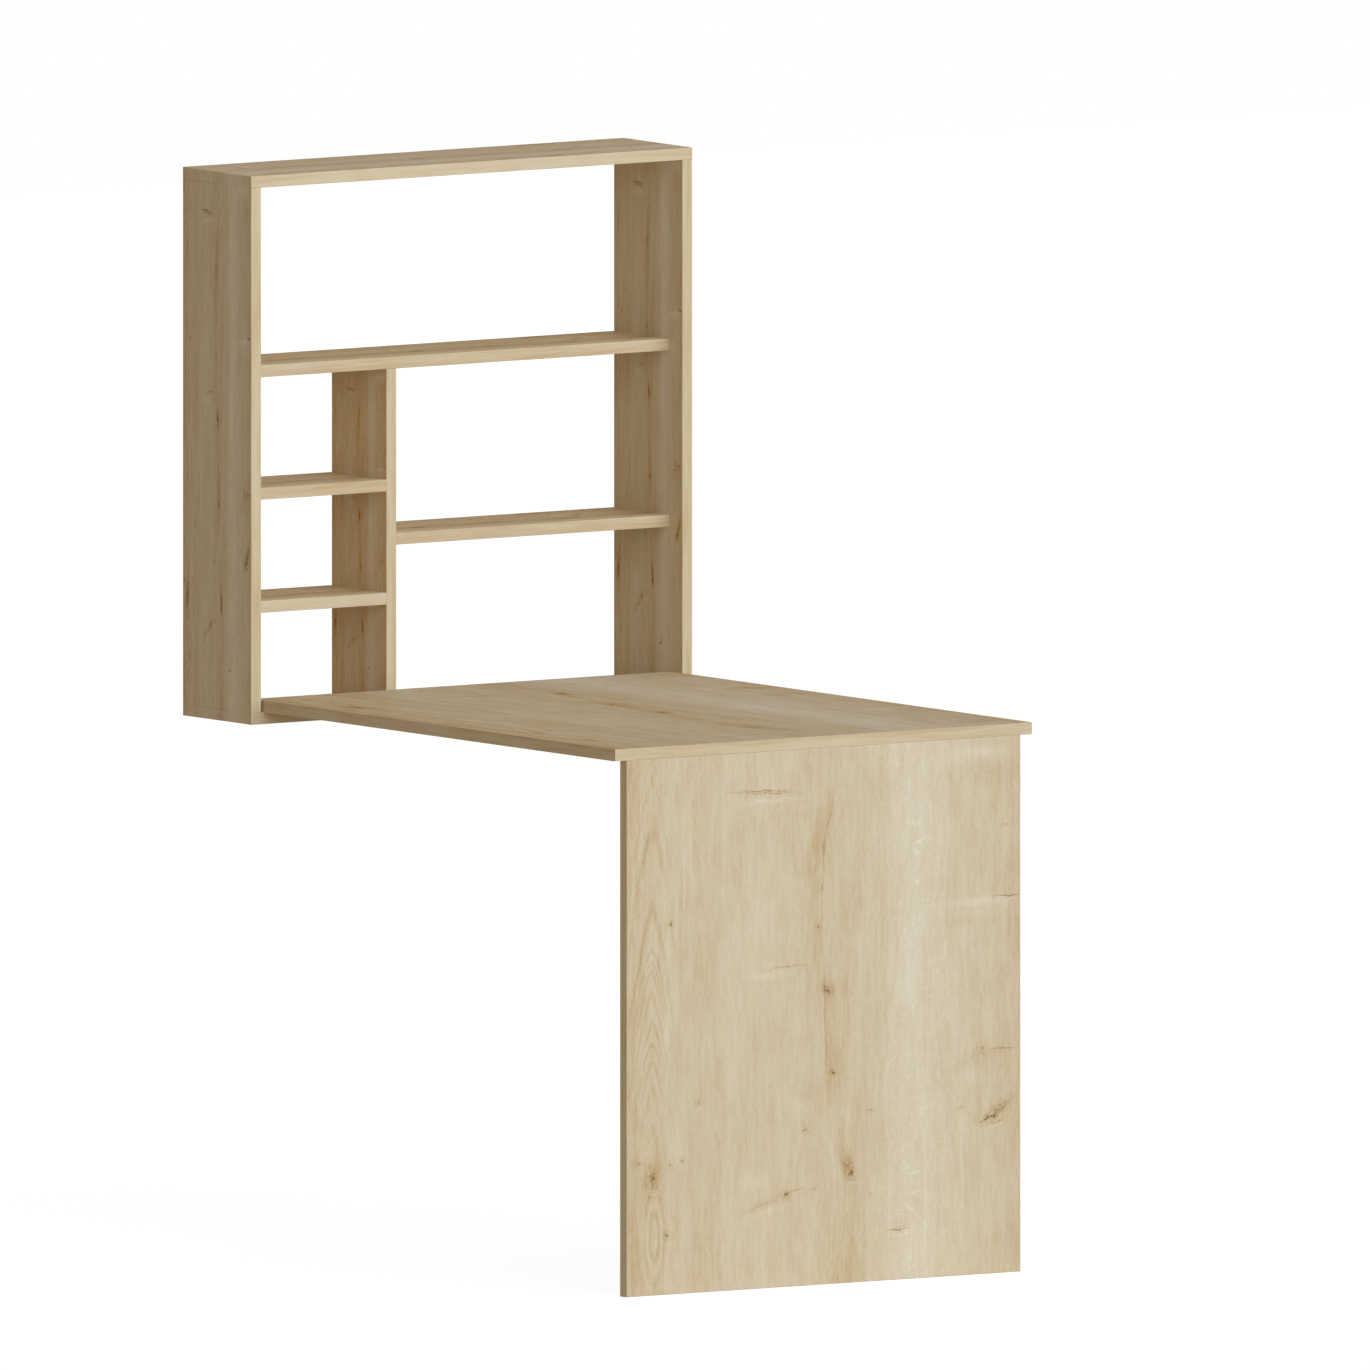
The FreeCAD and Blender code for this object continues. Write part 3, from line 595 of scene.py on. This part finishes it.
for where, wide, long, depth in STREAKS:
    streak = add(oak, MAPPING, {"Vector": where, "Scale": (1 / wide, 1 / long, 1 / wide)})
    pores = add(oak, NOISE, {"Vector": streak, "Scale": 1.0, "Detail": 1.0})
    streak = add(oak, RANGE, (pores.outputs["Fac"], *STREAK_SIDES, -depth, depth), **SOFT)
    plain = add(oak, MATH, (streak, plain), operation="ADD")
cloud = add(oak, MAPPING, {"Vector": flat, "Scale": CLOUD_SCALE})
cloud = add(oak, NOISE, {"Vector": cloud, "Scale": 1.0, "Detail": 3.0})
cloud = add(oak, MATH, (cloud.outputs["Fac"], 0.5), operation="SUBTRACT")
plain = add(oak, MATH, (cloud, CLOUD_TONE, plain), operation="MULTIPLY_ADD")
print("streak widths in mm:", [wide for where, wide, long, depth in STREAKS])

# %% [markdown]
# The saw cuts the wood's rays to short pale flecks, most of them in the pale band.
# Single strokes would need hundreds of marks. A slow noise crosses its middle value
# along winding lines, so those lines are taken for flecks, and a second noise lets
# only short pieces of them through. Real flecks are half a millimetre wide; they
# are drawn about 2 mm wide so that they show.

# %% Broken marks and ray flecks
# Spots of this size make a mark weaker or stronger, so that none is one even stroke.
BREAK_MM = 4.0
BREAK_WEIGHTS = (0.45, 1.25)
FLECK_SCALE = (1 / 11, 1 / 26, 1.0)
FLECK_START = (3.0, 11.0, 0.0)
# How far the noise may be from its middle: full tone up to the first, none past the second.
FLECK_LINE = (0.006, 0.034)
PIECE_SCALE = (1 / 9, 1 / 7, 1.0)
PIECE_START = (5.0, 2.0, 0.0)
PIECE_ENDS = (0.52, 0.60)
# The depth of a fleck grows with the band's tone, from a brown band to the palest.
BAND_TONES = (-0.02, 0.16)
FLECK_TONES = (0.05, 0.22)

broken = add(oak, NOISE, {"Vector": flat, "Scale": 1 / BREAK_MM, "Detail": 2.0})
broken = add(oak, RANGE, (broken.outputs["Fac"], *NOISE_SPREAD, *BREAK_WEIGHTS))
marked = add(oak, MATH, (marked, broken), operation="MULTIPLY")
fleck = add(oak, MAPPING, {"Vector": even, "Scale": FLECK_SCALE, "Location": FLECK_START})
fleck = add(oak, NOISE, {"Vector": fleck, "Scale": 1.0, "Detail": 2.0})
fleck = add(oak, MATH, (fleck.outputs["Fac"], 0.5), operation="SUBTRACT")
fleck = add(oak, MATH, (fleck,), operation="ABSOLUTE")
fleck = add(oak, RANGE, (fleck, *FLECK_LINE, 1.0, 0.0))
piece = add(oak, MAPPING, {"Vector": flat, "Scale": PIECE_SCALE, "Location": PIECE_START})
piece = add(oak, NOISE, {"Vector": piece, "Scale": 1.0, "Detail": 1.0})
piece = add(oak, RANGE, (piece.outputs["Fac"], *PIECE_ENDS, 0.0, 1.0))
fleck = add(oak, MATH, (fleck, piece), operation="MULTIPLY")
many = add(oak, RANGE, (bands, *BAND_TONES, *FLECK_TONES))
many = add(oak, MATH, (many, broken), operation="MULTIPLY")
marked = add(oak, MATH, (fleck, many, marked), operation="MULTIPLY_ADD")
print("flecks follow waves of", [round(1 / scale) for scale in FLECK_SCALE[:2]], "mm")

# %% [markdown]
# ## Inks
# Last the tone becomes colour. Six inks lie along the ramp, from the brown of a
# knot to the near white of a scar's rim. Oak is nowhere one hue, so patches lean
# to pink or to olive by about a hundredth before the board's own setting is added.

# %% From tone to oak
INKS = [(0.0, "#7A6244"), (0.12, "#A38C69"), (0.30, "#C7B08E"), (0.5, "#D2C4AB"), (0.75, "#DCD2BF"),
        (1.0, "#E6E0D3")]
PATCH_SCALE = (1 / 16, 1 / 60, 1.0)
PATCH_START = (7.0, 3.0, 0.0)
PATCH_HUE = 0.009

total = add(oak, MATH, (marked, entry["Marks"], plain), operation="MULTIPLY_ADD")
total = add(oak, MATH, (total, entry["Contrast"], entry["Tone"]), operation="MULTIPLY_ADD")
inks = add(oak, RAMP, (total,))
lay_colours(inks, INKS)
patch = add(oak, MAPPING, {"Vector": flat, "Scale": PATCH_SCALE, "Location": PATCH_START})
patch = add(oak, NOISE, {"Vector": patch, "Scale": 1.0, "Detail": 2.0})
patch = add(oak, RANGE, (patch.outputs["Fac"], *NOISE_SPREAD, -PATCH_HUE, PATCH_HUE))
hue = add(oak, MATH, (patch, entry["Hue"]), operation="ADD")
tinted = add(oak, "ShaderNodeHueSaturation", {
    "Hue": hue, "Saturation": entry["Saturation"], "Color": inks.outputs["Color"]})
add(oak, "NodeGroupOutput", {"Color": tinted, "Height": pores.outputs["Fac"]})
print("oak print nodes:", len(oak.nodes))

# %% [markdown]
# ## Fitting the print to the boards
# Each board says which of its directions runs across the sheet and which runs
# down it. A Mapping node scales first and turns afterwards, so a turn made of those
# two and their cross product picks the axes and never mirrors the pattern.
# The face is melamine resin pressed on paper: a clear plastic skin, IOR 1.5, satin
# and not glossy. Its shine is set to about a quarter of the usual, because here a
# glossy ray meets the white backdrop, much brighter than the dim room around the
# desk, and a full shine would lay a white veil over the print.

# %% A material for one way of laying the print
MM_PER_METRE = 1000.0
TRUE_SCALE = (MM_PER_METRE,) * 3
CHIPS_PER_METRE = 330.0
FACING_WALL = 0.9
RESIN_IOR = 1.5
RESIN_ROUGHNESS = 0.7
RESIN_SHINE = 0.12
PORE_RELIEF = (0.12, 0.0004)


def bare_chipboard(tree, points, shown):
    """The edge on the wall is bare chipboard: pressed wood chips of 3 mm, a matt brown speckle."""
    chips = add(tree, "ShaderNodeTexVoronoi", {"Vector": points, "Scale": CHIPS_PER_METRE})
    chip_tone = add(tree, RAMP, (chips.outputs["Color"],))
    lay_colours(chip_tone, [(0.0, "#8D7150"), (1.0, "#C9AE86")])
    normal = add(tree, "ShaderNodeSeparateXYZ", (add(tree, "ShaderNodeNewGeometry").outputs["Normal"],))
    bare = add(tree, MATH, (normal.outputs["Y"], FACING_WALL), operation="GREATER_THAN")
    mix = add(tree, "ShaderNodeMix", data_type="RGBA")
    sockets = {socket.identifier: socket for socket in (*mix.inputs, *mix.outputs)}
    given = {"Factor_Float": bare.outputs[0], "A_Color": shown, "B_Color": chip_tone.outputs[0]}
    for name, value in given.items():
        tree.links.new(value, sockets[name])
    return sockets["Result_Color"]


def oak_material(name, across_way, down_way, scale, start, raw_back=False, fine_scale=TRUE_SCALE,
                 **print_settings):
    """The two ways run across the sheet and down it; start is added after scale and turn."""
    made, tree, points = new_material(name)
    angles = Matrix((across_way, down_way, across_way.cross(down_way))).to_euler("XYZ")
    sheet = add(tree, MAPPING, {"Vector": points, "Scale": scale, "Rotation": angles, "Location": start})
    fine = add(tree, MAPPING, {"Vector": points, "Scale": fine_scale, "Rotation": angles})
    face = add(tree, "ShaderNodeGroup", node_tree=oak)
    for setting, value in print_settings.items():
        face.inputs[setting].default_value = value
    tree.links.new(sheet.outputs[0], face.inputs["Sheet"])
    tree.links.new(fine.outputs[0], face.inputs["Fine"])
    shown = face.outputs["Color"]
    if raw_back:
        shown = bare_chipboard(tree, points, shown)
    shader = dress(made, shown, face.outputs["Height"], RESIN_ROUGHNESS, *PORE_RELIEF)
    shader.inputs["IOR"].default_value = RESIN_IOR
    shader.inputs["Specular IOR Level"].default_value = RESIN_SHINE
    return made


print("chips are about", round(MM_PER_METRE / CHIPS_PER_METRE), "mm wide")

# %% Lay the whole sheet over one board
def oak_board(name, low, high, across_axis, down_axis, flip_across, flip_down, **settings):
    """Fits the sheet to the box from low to high, in metres."""
    across_way, down_way = Vector(), Vector()
    across_way[across_axis] = -1.0 if flip_across else 1.0
    down_way[down_axis] = -1.0 if flip_down else 1.0
    scale = list(TRUE_SCALE)
    scale[across_axis] = SHEET_WIDE / (high[across_axis] - low[across_axis])
    scale[down_axis] = SHEET_LONG / (high[down_axis] - low[down_axis])
    start_x = high[across_axis] if flip_across else -low[across_axis]
    start_y = high[down_axis] if flip_down else -low[down_axis]
    start = (start_x * scale[across_axis], start_y * scale[down_axis], 0.0)
    return oak_material(name, across_way, down_way, scale, start, **settings)


def paint(node, material):
    nodes[node].data.materials.clear()
    nodes[node].data.materials.append(material)


X, Y, Z = 0, 1, 2
print("a whole sheet is", SHEET_WIDE, "by", SHEET_LONG, "mm")

# %% [markdown]
# Each board has its own tone and strength of colour, and these are painted light
# and shade: darker on faces that turn from the lamp, warmer and more saturated
# where light bounces off oak inside the bays. To the eye all of them are
# melamine-faced chipboard: dry satin oak. All but the leg lie at a slant or in
# shade, where marks get lost, so the print has more contrast there.

# %% The upright boards
cabinet_low, cabinet_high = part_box("bottom_edge_bands")[0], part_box("top_edge_bands")[1]
# Left side: a cool, slightly grey oak, toned darker as painted shade, as it turns from the lamp.
shaded_left_side = oak_board("oak_melamine_left_side", cabinet_low, cabinet_high, Y, Z, True, True,
                      raw_back=True, Contrast=1.15, Tone=0.475, Saturation=0.95, Hue=0.498)
paint("side_board_left", shaded_left_side)
# Right side: toned warm and lighter as painted light bounced across the wide bay.
paint("side_board_right", oak_board("oak_melamine_right_side_painted_bounce", cabinet_low, cabinet_high, Y, Z, True, True,
                                    raw_back=True, Contrast=1.3, Tone=0.58, Saturation=1.25, Hue=0.495))
# Divider: the warmest, a pale orange brown, as painted light bounced off oak between the narrow bays.
low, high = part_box("divider_board")
paint("divider_board", oak_board("oak_melamine_divider_painted_bounce", low, high, Y, Z, True, True,
                                 raw_back=True, Contrast=1.3, Tone=0.64, Saturation=1.65, Hue=0.486))
# Leg: the print as it is drawn, sheet edge on board edge, with every mark in its place.
low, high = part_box("leg_panel_edge_bands")
paint("leg_panel", oak_board("oak_melamine_leg", low, high, X, Z, False, True))
print("size of the print on the leg:", round(SHEET_WIDE / (high[0] - low[0]) / MM_PER_METRE, 3))

# %% The lying boards
# Leaf: a richer colour as painted warm bounced light, a stronger grain, its knots held back.
low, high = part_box("desk_leaf_edge_bands")
paint("desk_leaf", oak_board("oak_melamine_leaf_painted_warmth", low, high, X, Y, False, False,
                             Contrast=1.35, Marks=0.7, Tone=0.565, Saturation=1.24, Hue=0.499))
# Top and bottom: toned browner as painted shade, the grain along the boards.
top = oak_board("oak_melamine_top_shaded", cabinet_low, cabinet_high, Y, X, True, False,
                raw_back=True, Contrast=1.2, Tone=0.44, Saturation=1.06, Hue=0.499)
for node in ("top_board", "bottom_board"):
    paint(node, top)
# Shelves: the brownest and warmest, as painted shade and bounced light in the bays, laid the same way.
shelf = oak_board("oak_melamine_shelf_shaded", cabinet_low, cabinet_high, Y, X, True, False,
                  raw_back=True, Contrast=1.2, Tone=0.37, Saturation=1.22, Hue=0.499)
for node in ("middle_shelf", "shelf_left_upper", "shelf_left_lower", "shelf_right"):
    paint(node, shelf)
print("materials with the boards:", len(bpy.data.materials))

# %% [markdown]
# ## Edge banding
# The edges that show are closed with a millimetre of melamine banding in the same
# oak, satin like the faces, its grain along the edge. A band is so narrow that a
# knot on it would look like dirt, so its marks are turned down to a tenth.

# %% Banding materials, one for each way the grain can run
# On a strip the streaks run on for long, so the sheet and the pores are stretched along it.
STRETCHED_SHEET = 300.0
STRETCHED_PORES = 120.0
BAND_MARKS = 0.1


def band_material(name, length_axis, across_axis, shift, **settings):
    """The sheet's long way along length_axis; shift in mm picks the part of it that shows."""
    across_way, down_way = Vector(), Vector()
    # An eighth of a turn about the grain lets both narrow sides of a strip run across the sheet.
    across_way[across_axis] = across_way[3 - length_axis - across_axis] = math.sqrt(0.5)
    down_way[length_axis] = 1.0
    sheet_scale = list(TRUE_SCALE)
    sheet_scale[length_axis] = STRETCHED_SHEET
    fine_scale = list(TRUE_SCALE)
    fine_scale[length_axis] = STRETCHED_PORES
    return oak_material(name, across_way, down_way, sheet_scale, (shift, 2 * SHEET_LONG, 0.0),
                        fine_scale=fine_scale, Marks=BAND_MARKS, **settings)


# Level and upright bands face the room and read as clean oak lines round each opening.
band_level = band_material("oak_banding_level", X, Z, 65.0, Tone=0.47, Saturation=1.06, Contrast=1.0)
band_upright = band_material("oak_banding_upright", Z, X, 750.0, Tone=0.47, Saturation=1.06, Contrast=1.15)
# The bands on the leaf's sides run from front to back, a darker, cooler brown as painted shade.
shaded_side_banding = band_material("oak_banding_deep_shaded", Y, X, 545.0, Tone=0.42, Saturation=0.97, Contrast=1.2)
print("materials with the banding:", len(bpy.data.materials))

# %% [markdown]
# The machine that glues the banding on also rounds its two outer arrises, and that
# small round catches the light on a real board. A strip could be a bevelled box,
# but it is one profile carried along one line, which is just what Curve to Mesh
# does, so one small Geometry Nodes tree makes every strip from its sizes.

# %% The tree that makes one strip
STRIP_INPUTS = {"Start": "Vector", "End": "Vector", "Outward": "Vector", "Width": "Float",
                "Thickness": "Float", "Arris": "Float", "Finish": "Material"}
ARRIS_STEPS = 3

banding = bpy.data.node_groups.new("edge_banding", "GeometryNodeTree")
for name, kind in STRIP_INPUTS.items():
    open_socket(banding, name, kind)
open_socket(banding, "Strip", "Geometry", "OUTPUT")
given = add(banding, "NodeGroupInput").outputs
line = add(banding, "GeometryNodeCurvePrimitiveLine", {"Start": given["Start"], "End": given["End"]})
line = add(banding, "GeometryNodeSetCurveNormal", {"Curve": line, "Normal": given["Outward"]}, mode="FREE")
profile = add(banding, "GeometryNodeCurvePrimitiveQuadrilateral", {
    "Width": given["Thickness"], "Height": given["Width"]})
half = add(banding, MATH, (given["Thickness"], 0.5), operation="MULTIPLY")
outwards = add(banding, "ShaderNodeCombineXYZ", (half,))
profile = add(banding, "GeometryNodeTransform", {"Geometry": profile, "Translation": outwards})
# Only the two corners that face outwards are rounded; the glued side stays square.
spot = add(banding, "ShaderNodeSeparateXYZ", (add(banding, "GeometryNodeInputPosition"),)).outputs
outer = add(banding, MATH, (spot["X"], half), operation="GREATER_THAN")
arris = add(banding, MATH, (outer, given["Arris"]), operation="MULTIPLY")
profile = add(banding, "GeometryNodeFilletCurve", {
    "Curve": profile, "Radius": arris, "Count": ARRIS_STEPS}, mode="POLY")
strip = add(banding, "GeometryNodeCurveToMesh", {"Curve": line, "Profile Curve": profile, "Fill Caps": True})
strip = add(banding, "GeometryNodeSetShadeSmooth", {"Geometry": strip, "Shade Smooth": False})
strip = add(banding, "GeometryNodeRealizeInstances", {"Geometry": strip})
strip = add(banding, "GeometryNodeSetMaterial", {"Geometry": strip, "Material": given["Finish"]})
add(banding, "NodeGroupOutput", (strip,))
print("edge banding tree:", len(banding.nodes), "nodes")

# %% [markdown]
# A modifier's inputs are set by their identifiers before the object is first
# evaluated. Its result is copied into a plain mesh, and the object that carried
# the modifier goes.

# %% Make one strip
BOARD = 0.016
BAND = 0.001
ARRIS = 0.0007
TO_ROOM = (0, -1, 0)


def run_tree(tree, values):
    holder = put_in_scene("holder", bpy.data.meshes.new("holder"))
    modifier = holder.modifiers.new("tree", "NODES")
    modifier.node_group = tree
    for item in tree.interface.items_tree:
        if item.in_out == "INPUT" and item.name in values:
            modifier[item.identifier] = values[item.name]
    made = bpy.data.meshes.new_from_object(holder.evaluated_get(bpy.context.evaluated_depsgraph_get()))
    bpy.data.objects.remove(holder)
    return made


def strip_between(start, end, outward, finish):
    """Start and end lie on the glued side, midway in the board's thickness."""
    return run_tree(banding, {"Start": start, "End": end, "Outward": outward, "Width": BOARD,
                              "Thickness": BAND, "Arris": ARRIS, "Finish": finish})


def level_strip(low_x, high_x, y, z):
    return strip_between((low_x, y, z), (high_x, y, z), TO_ROOM, band_level)


def upright_strip(x, y, low_z, high_z):
    return strip_between((x, y, low_z), (x, y, high_z), TO_ROOM, band_upright)


print("a strip has", len(level_strip(0, 1, 0, 0).vertices), "corners")

# %% [markdown]
# The strips of one board become one mesh, each with its own material. It rides on
# the board's body and takes the place of that board's plain banding.

# %% Join the strips of one board
def join(name, meshes, body, replaced):
    whole = bmesh.new()
    finishes = []
    for mesh in meshes:
        first = len(whole.faces)
        whole.from_mesh(mesh)
        whole.faces.ensure_lookup_table()
        for face in whole.faces[first:]:
            finish = mesh.materials[face.material_index]
            if finish not in finishes:
                finishes.append(finish)
            face.material_index = finishes.index(finish)
    bmesh.ops.recalc_face_normals(whole, faces=whole.faces)
    data = bpy.data.meshes.new(name)
    whole.to_mesh(data)
    whole.free()
    for finish in finishes:
        data.materials.append(finish)
    joined = put_in_scene(name, data)
    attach(joined, body)
    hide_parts(replaced)
    print(name, "has", len(data.polygons), "faces")


# %% Banding of the cabinet
for node in ("middle_shelf", "shelf_left_upper", "shelf_left_lower", "shelf_right"):
    low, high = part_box(node + "_edge_band")
    strips = [level_strip(low[0], high[0], high[1], (low[2] + high[2]) / 2)]
    join(node + "_banding", strips, "cabinet", node + "_edge_band")
for node in ("side_board_left", "side_board_right", "divider_board"):
    low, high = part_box(node + "_edge_band")
    strips = [upright_strip((low[0] + high[0]) / 2, high[1], low[2], high[2])]
    join(node + "_banding", strips, "cabinet", node + "_edge_band")
# The top and bottom boards cover the side boards' ends, so their own ends show,
# in the left side's oak with its painted shade.
for node in ("top", "bottom"):
    low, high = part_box(node + "_edge_bands")
    y, z = low[1] + BAND, (low[2] + high[2]) / 2
    strips = [level_strip(low[0], high[0], y, z)]
    for x, way in ((low[0] + BAND, -1), (high[0] - BAND, 1)):
        strips.append(strip_between((x, y, z), (x, high[1], z), (way, 0, 0), shaded_left_side))
    join(node + "_board_banding", strips, "cabinet", node + "_edge_bands")

# %% Banding of the leg
low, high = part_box("leg_panel_edge_bands")
y, foot = (low[1] + high[1]) / 2, low[2] + BAND
strips = [strip_between((low[0], y, foot), (high[0], y, foot), (0, 0, -1), band_level)]
for x, way in ((low[0] + BAND, -1), (high[0] - BAND, 1)):
    strips.append(strip_between((x, y, foot), (x, y, high[2]), (way, 0, 0), band_upright))
join("leg_panel_banding", strips, "leg_body", "leg_panel_edge_bands")

# %% [markdown]
# The leaf's side bands are not plain strips: their back ends follow the round nose
# that lets the leaf turn, and a pin goes through each. So they are taken from the
# model's own solid. The front strip's triangles are left out, the rest is joined
# into whole faces, and only the arrises on the outer side are rounded, but not the
# pin's hole or the end at the front strip.

# %% Banding of the leaf
HAIR = 1e-6
FLAT_WITHIN = math.radians(0.5)
HOLE_WITHIN = 0.0065
SIDE_ARRIS = 0.0005

low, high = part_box("desk_leaf_edge_bands")
front = low[1] + BAND
pin_low, pin_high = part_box("pivot_pins")
pivot = ((pin_low[1] + pin_high[1]) / 2, (pin_low[2] + pin_high[2]) / 2)
sides = bmesh.new()
sides.from_mesh(nodes["desk_leaf_edge_bands"].data)
front_strip = []
for face in sides.faces:
    xs = [v.co.x for v in face.verts]
    ys = [v.co.y for v in face.verts]
    if max(ys) < front + HAIR and (min(ys) < front - HAIR or min(xs) * max(xs) < 0):
        front_strip.append(face)
bmesh.ops.delete(sides, geom=front_strip, context="FACES")
bmesh.ops.remove_doubles(sides, verts=sides.verts, dist=HAIR)
bmesh.ops.dissolve_limit(sides, angle_limit=FLAT_WITHIN, verts=sides.verts, edges=sides.edges)
outer_edges = []
for edge in sides.edges:
    on_outside = all(abs(v.co.x) > high[0] - BAND / 10 for v in edge.verts)
    at_strip = all(v.co.y < front + HAIR for v in edge.verts)
    at_hole = all(math.dist((v.co.y, v.co.z), pivot) < HOLE_WITHIN for v in edge.verts)
    if on_outside and not at_strip and not at_hole:
        outer_edges.append(edge)
bmesh.ops.bevel(sides, geom=outer_edges, offset=SIDE_ARRIS, segments=2, affect="EDGES", profile=0.5,
                clamp_overlap=True)
side_mesh = bpy.data.meshes.new("leaf_side_bands")
sides.to_mesh(side_mesh)
sides.free()
side_mesh.materials.append(shaded_side_banding)
strips = [level_strip(low[0], high[0], front, (low[2] + high[2]) / 2), side_mesh]
join("desk_leaf_banding", strips, "desk_leaf_body", "desk_leaf_edge_bands")
print("rounded edges on the leaf's sides:", len(outer_edges))

# %% [markdown]
# ## Fittings
# The fittings hide from the front, and each keeps its solid from the model. What
# tells them apart is their finish, and none is quite even: plating clouds, casting
# is grainy and wood has figure. So one function gives each two close shades, mixed
# by a noise as coarse as that surface's own unevenness.

# %% A fitting's finish
FINISH_RELIEF = (0.1, 0.0002)


def fitting(name, pale, dark, metallic, roughness, grain_mm, stretch=(1, 1, 1)):
    made, tree, points = new_material(name)
    grain = [MM_PER_METRE / grain_mm / longer for longer in stretch]
    cloudy = add(tree, MAPPING, {"Vector": points, "Scale": grain})
    cloudy = add(tree, NOISE, {"Vector": cloudy, "Scale": 1.0, "Detail": 3.0})
    shade = add(tree, RAMP, (cloudy.outputs["Fac"],))
    lay_colours(shade, [*zip(NOISE_SPREAD, (dark, pale))])
    shader = dress(made, shade.outputs["Color"], cloudy.outputs["Fac"], roughness, *FINISH_RELIEF)
    shader.inputs["Metallic"].default_value = metallic
    return made


# Pressed steel with bright zinc plating: a cool light grey with a soft mirror and faint clouds.
zinc_plate = fitting("zinc_plated_steel", "#D3D6D8", "#B9BDC1", 1.0, 0.32, 4.0)
# Die-cast zinc, left raw: a duller and darker grey, with a fine grain from the mould.
zinc_cast = fitting("die_cast_zinc", "#B4B6B7", "#9C9FA1", 1.0, 0.48, 1.5)
# Moulded nylon: a milky white with a low sheen.
nylon = fitting("white_nylon", "#EDEAE2", "#E2DED4", 0.0, 0.42, 3.0)
# Raw turned beech: a matt pinkish tan, its flecks eight times as long up the corner dowels.
beech = fitting("raw_beech", "#DDBD92", "#C9A678", 0.0, 0.72, 1.2, (1, 1, 8))
# Moulded plastic in the oak's own colour, so that a cap is hard to find under its shelf.
cap_plastic = fitting("moulded_cap", "#D2C4A6", "#C9BA9A", 0.0, 0.5, 2.0)
print("materials with the fittings:", len(bpy.data.materials))

# %% Paint the fittings
for node in ("hanger_brackets", "bracket_screws", "pivot_pins", "hinge_desk_plates", "hinge_leg_plates",
             "hinge_desk_screws", "hinge_leg_screws", "hinge_pins"):
    paint(node, zinc_plate)
for node in ("cam_locks", "cam_bolts"):
    paint(node, zinc_cast)
for node in ("pivot_washers", "pivot_bushes"):
    paint(node, nylon)
paint("wood_dowels", beech)
paint("cam_cover_caps", cap_plastic)
left = [name for name in nodes if nodes[name].data.materials[0].name == "oak_edge_band"]
print("plain bands that strips replace:", left)

# %% [markdown]
# ## Finish
# The view transform is Standard, so a colour leaves the renderer as it was mixed.

# %% Finish
bpy.context.scene.view_settings.view_transform = "Standard"
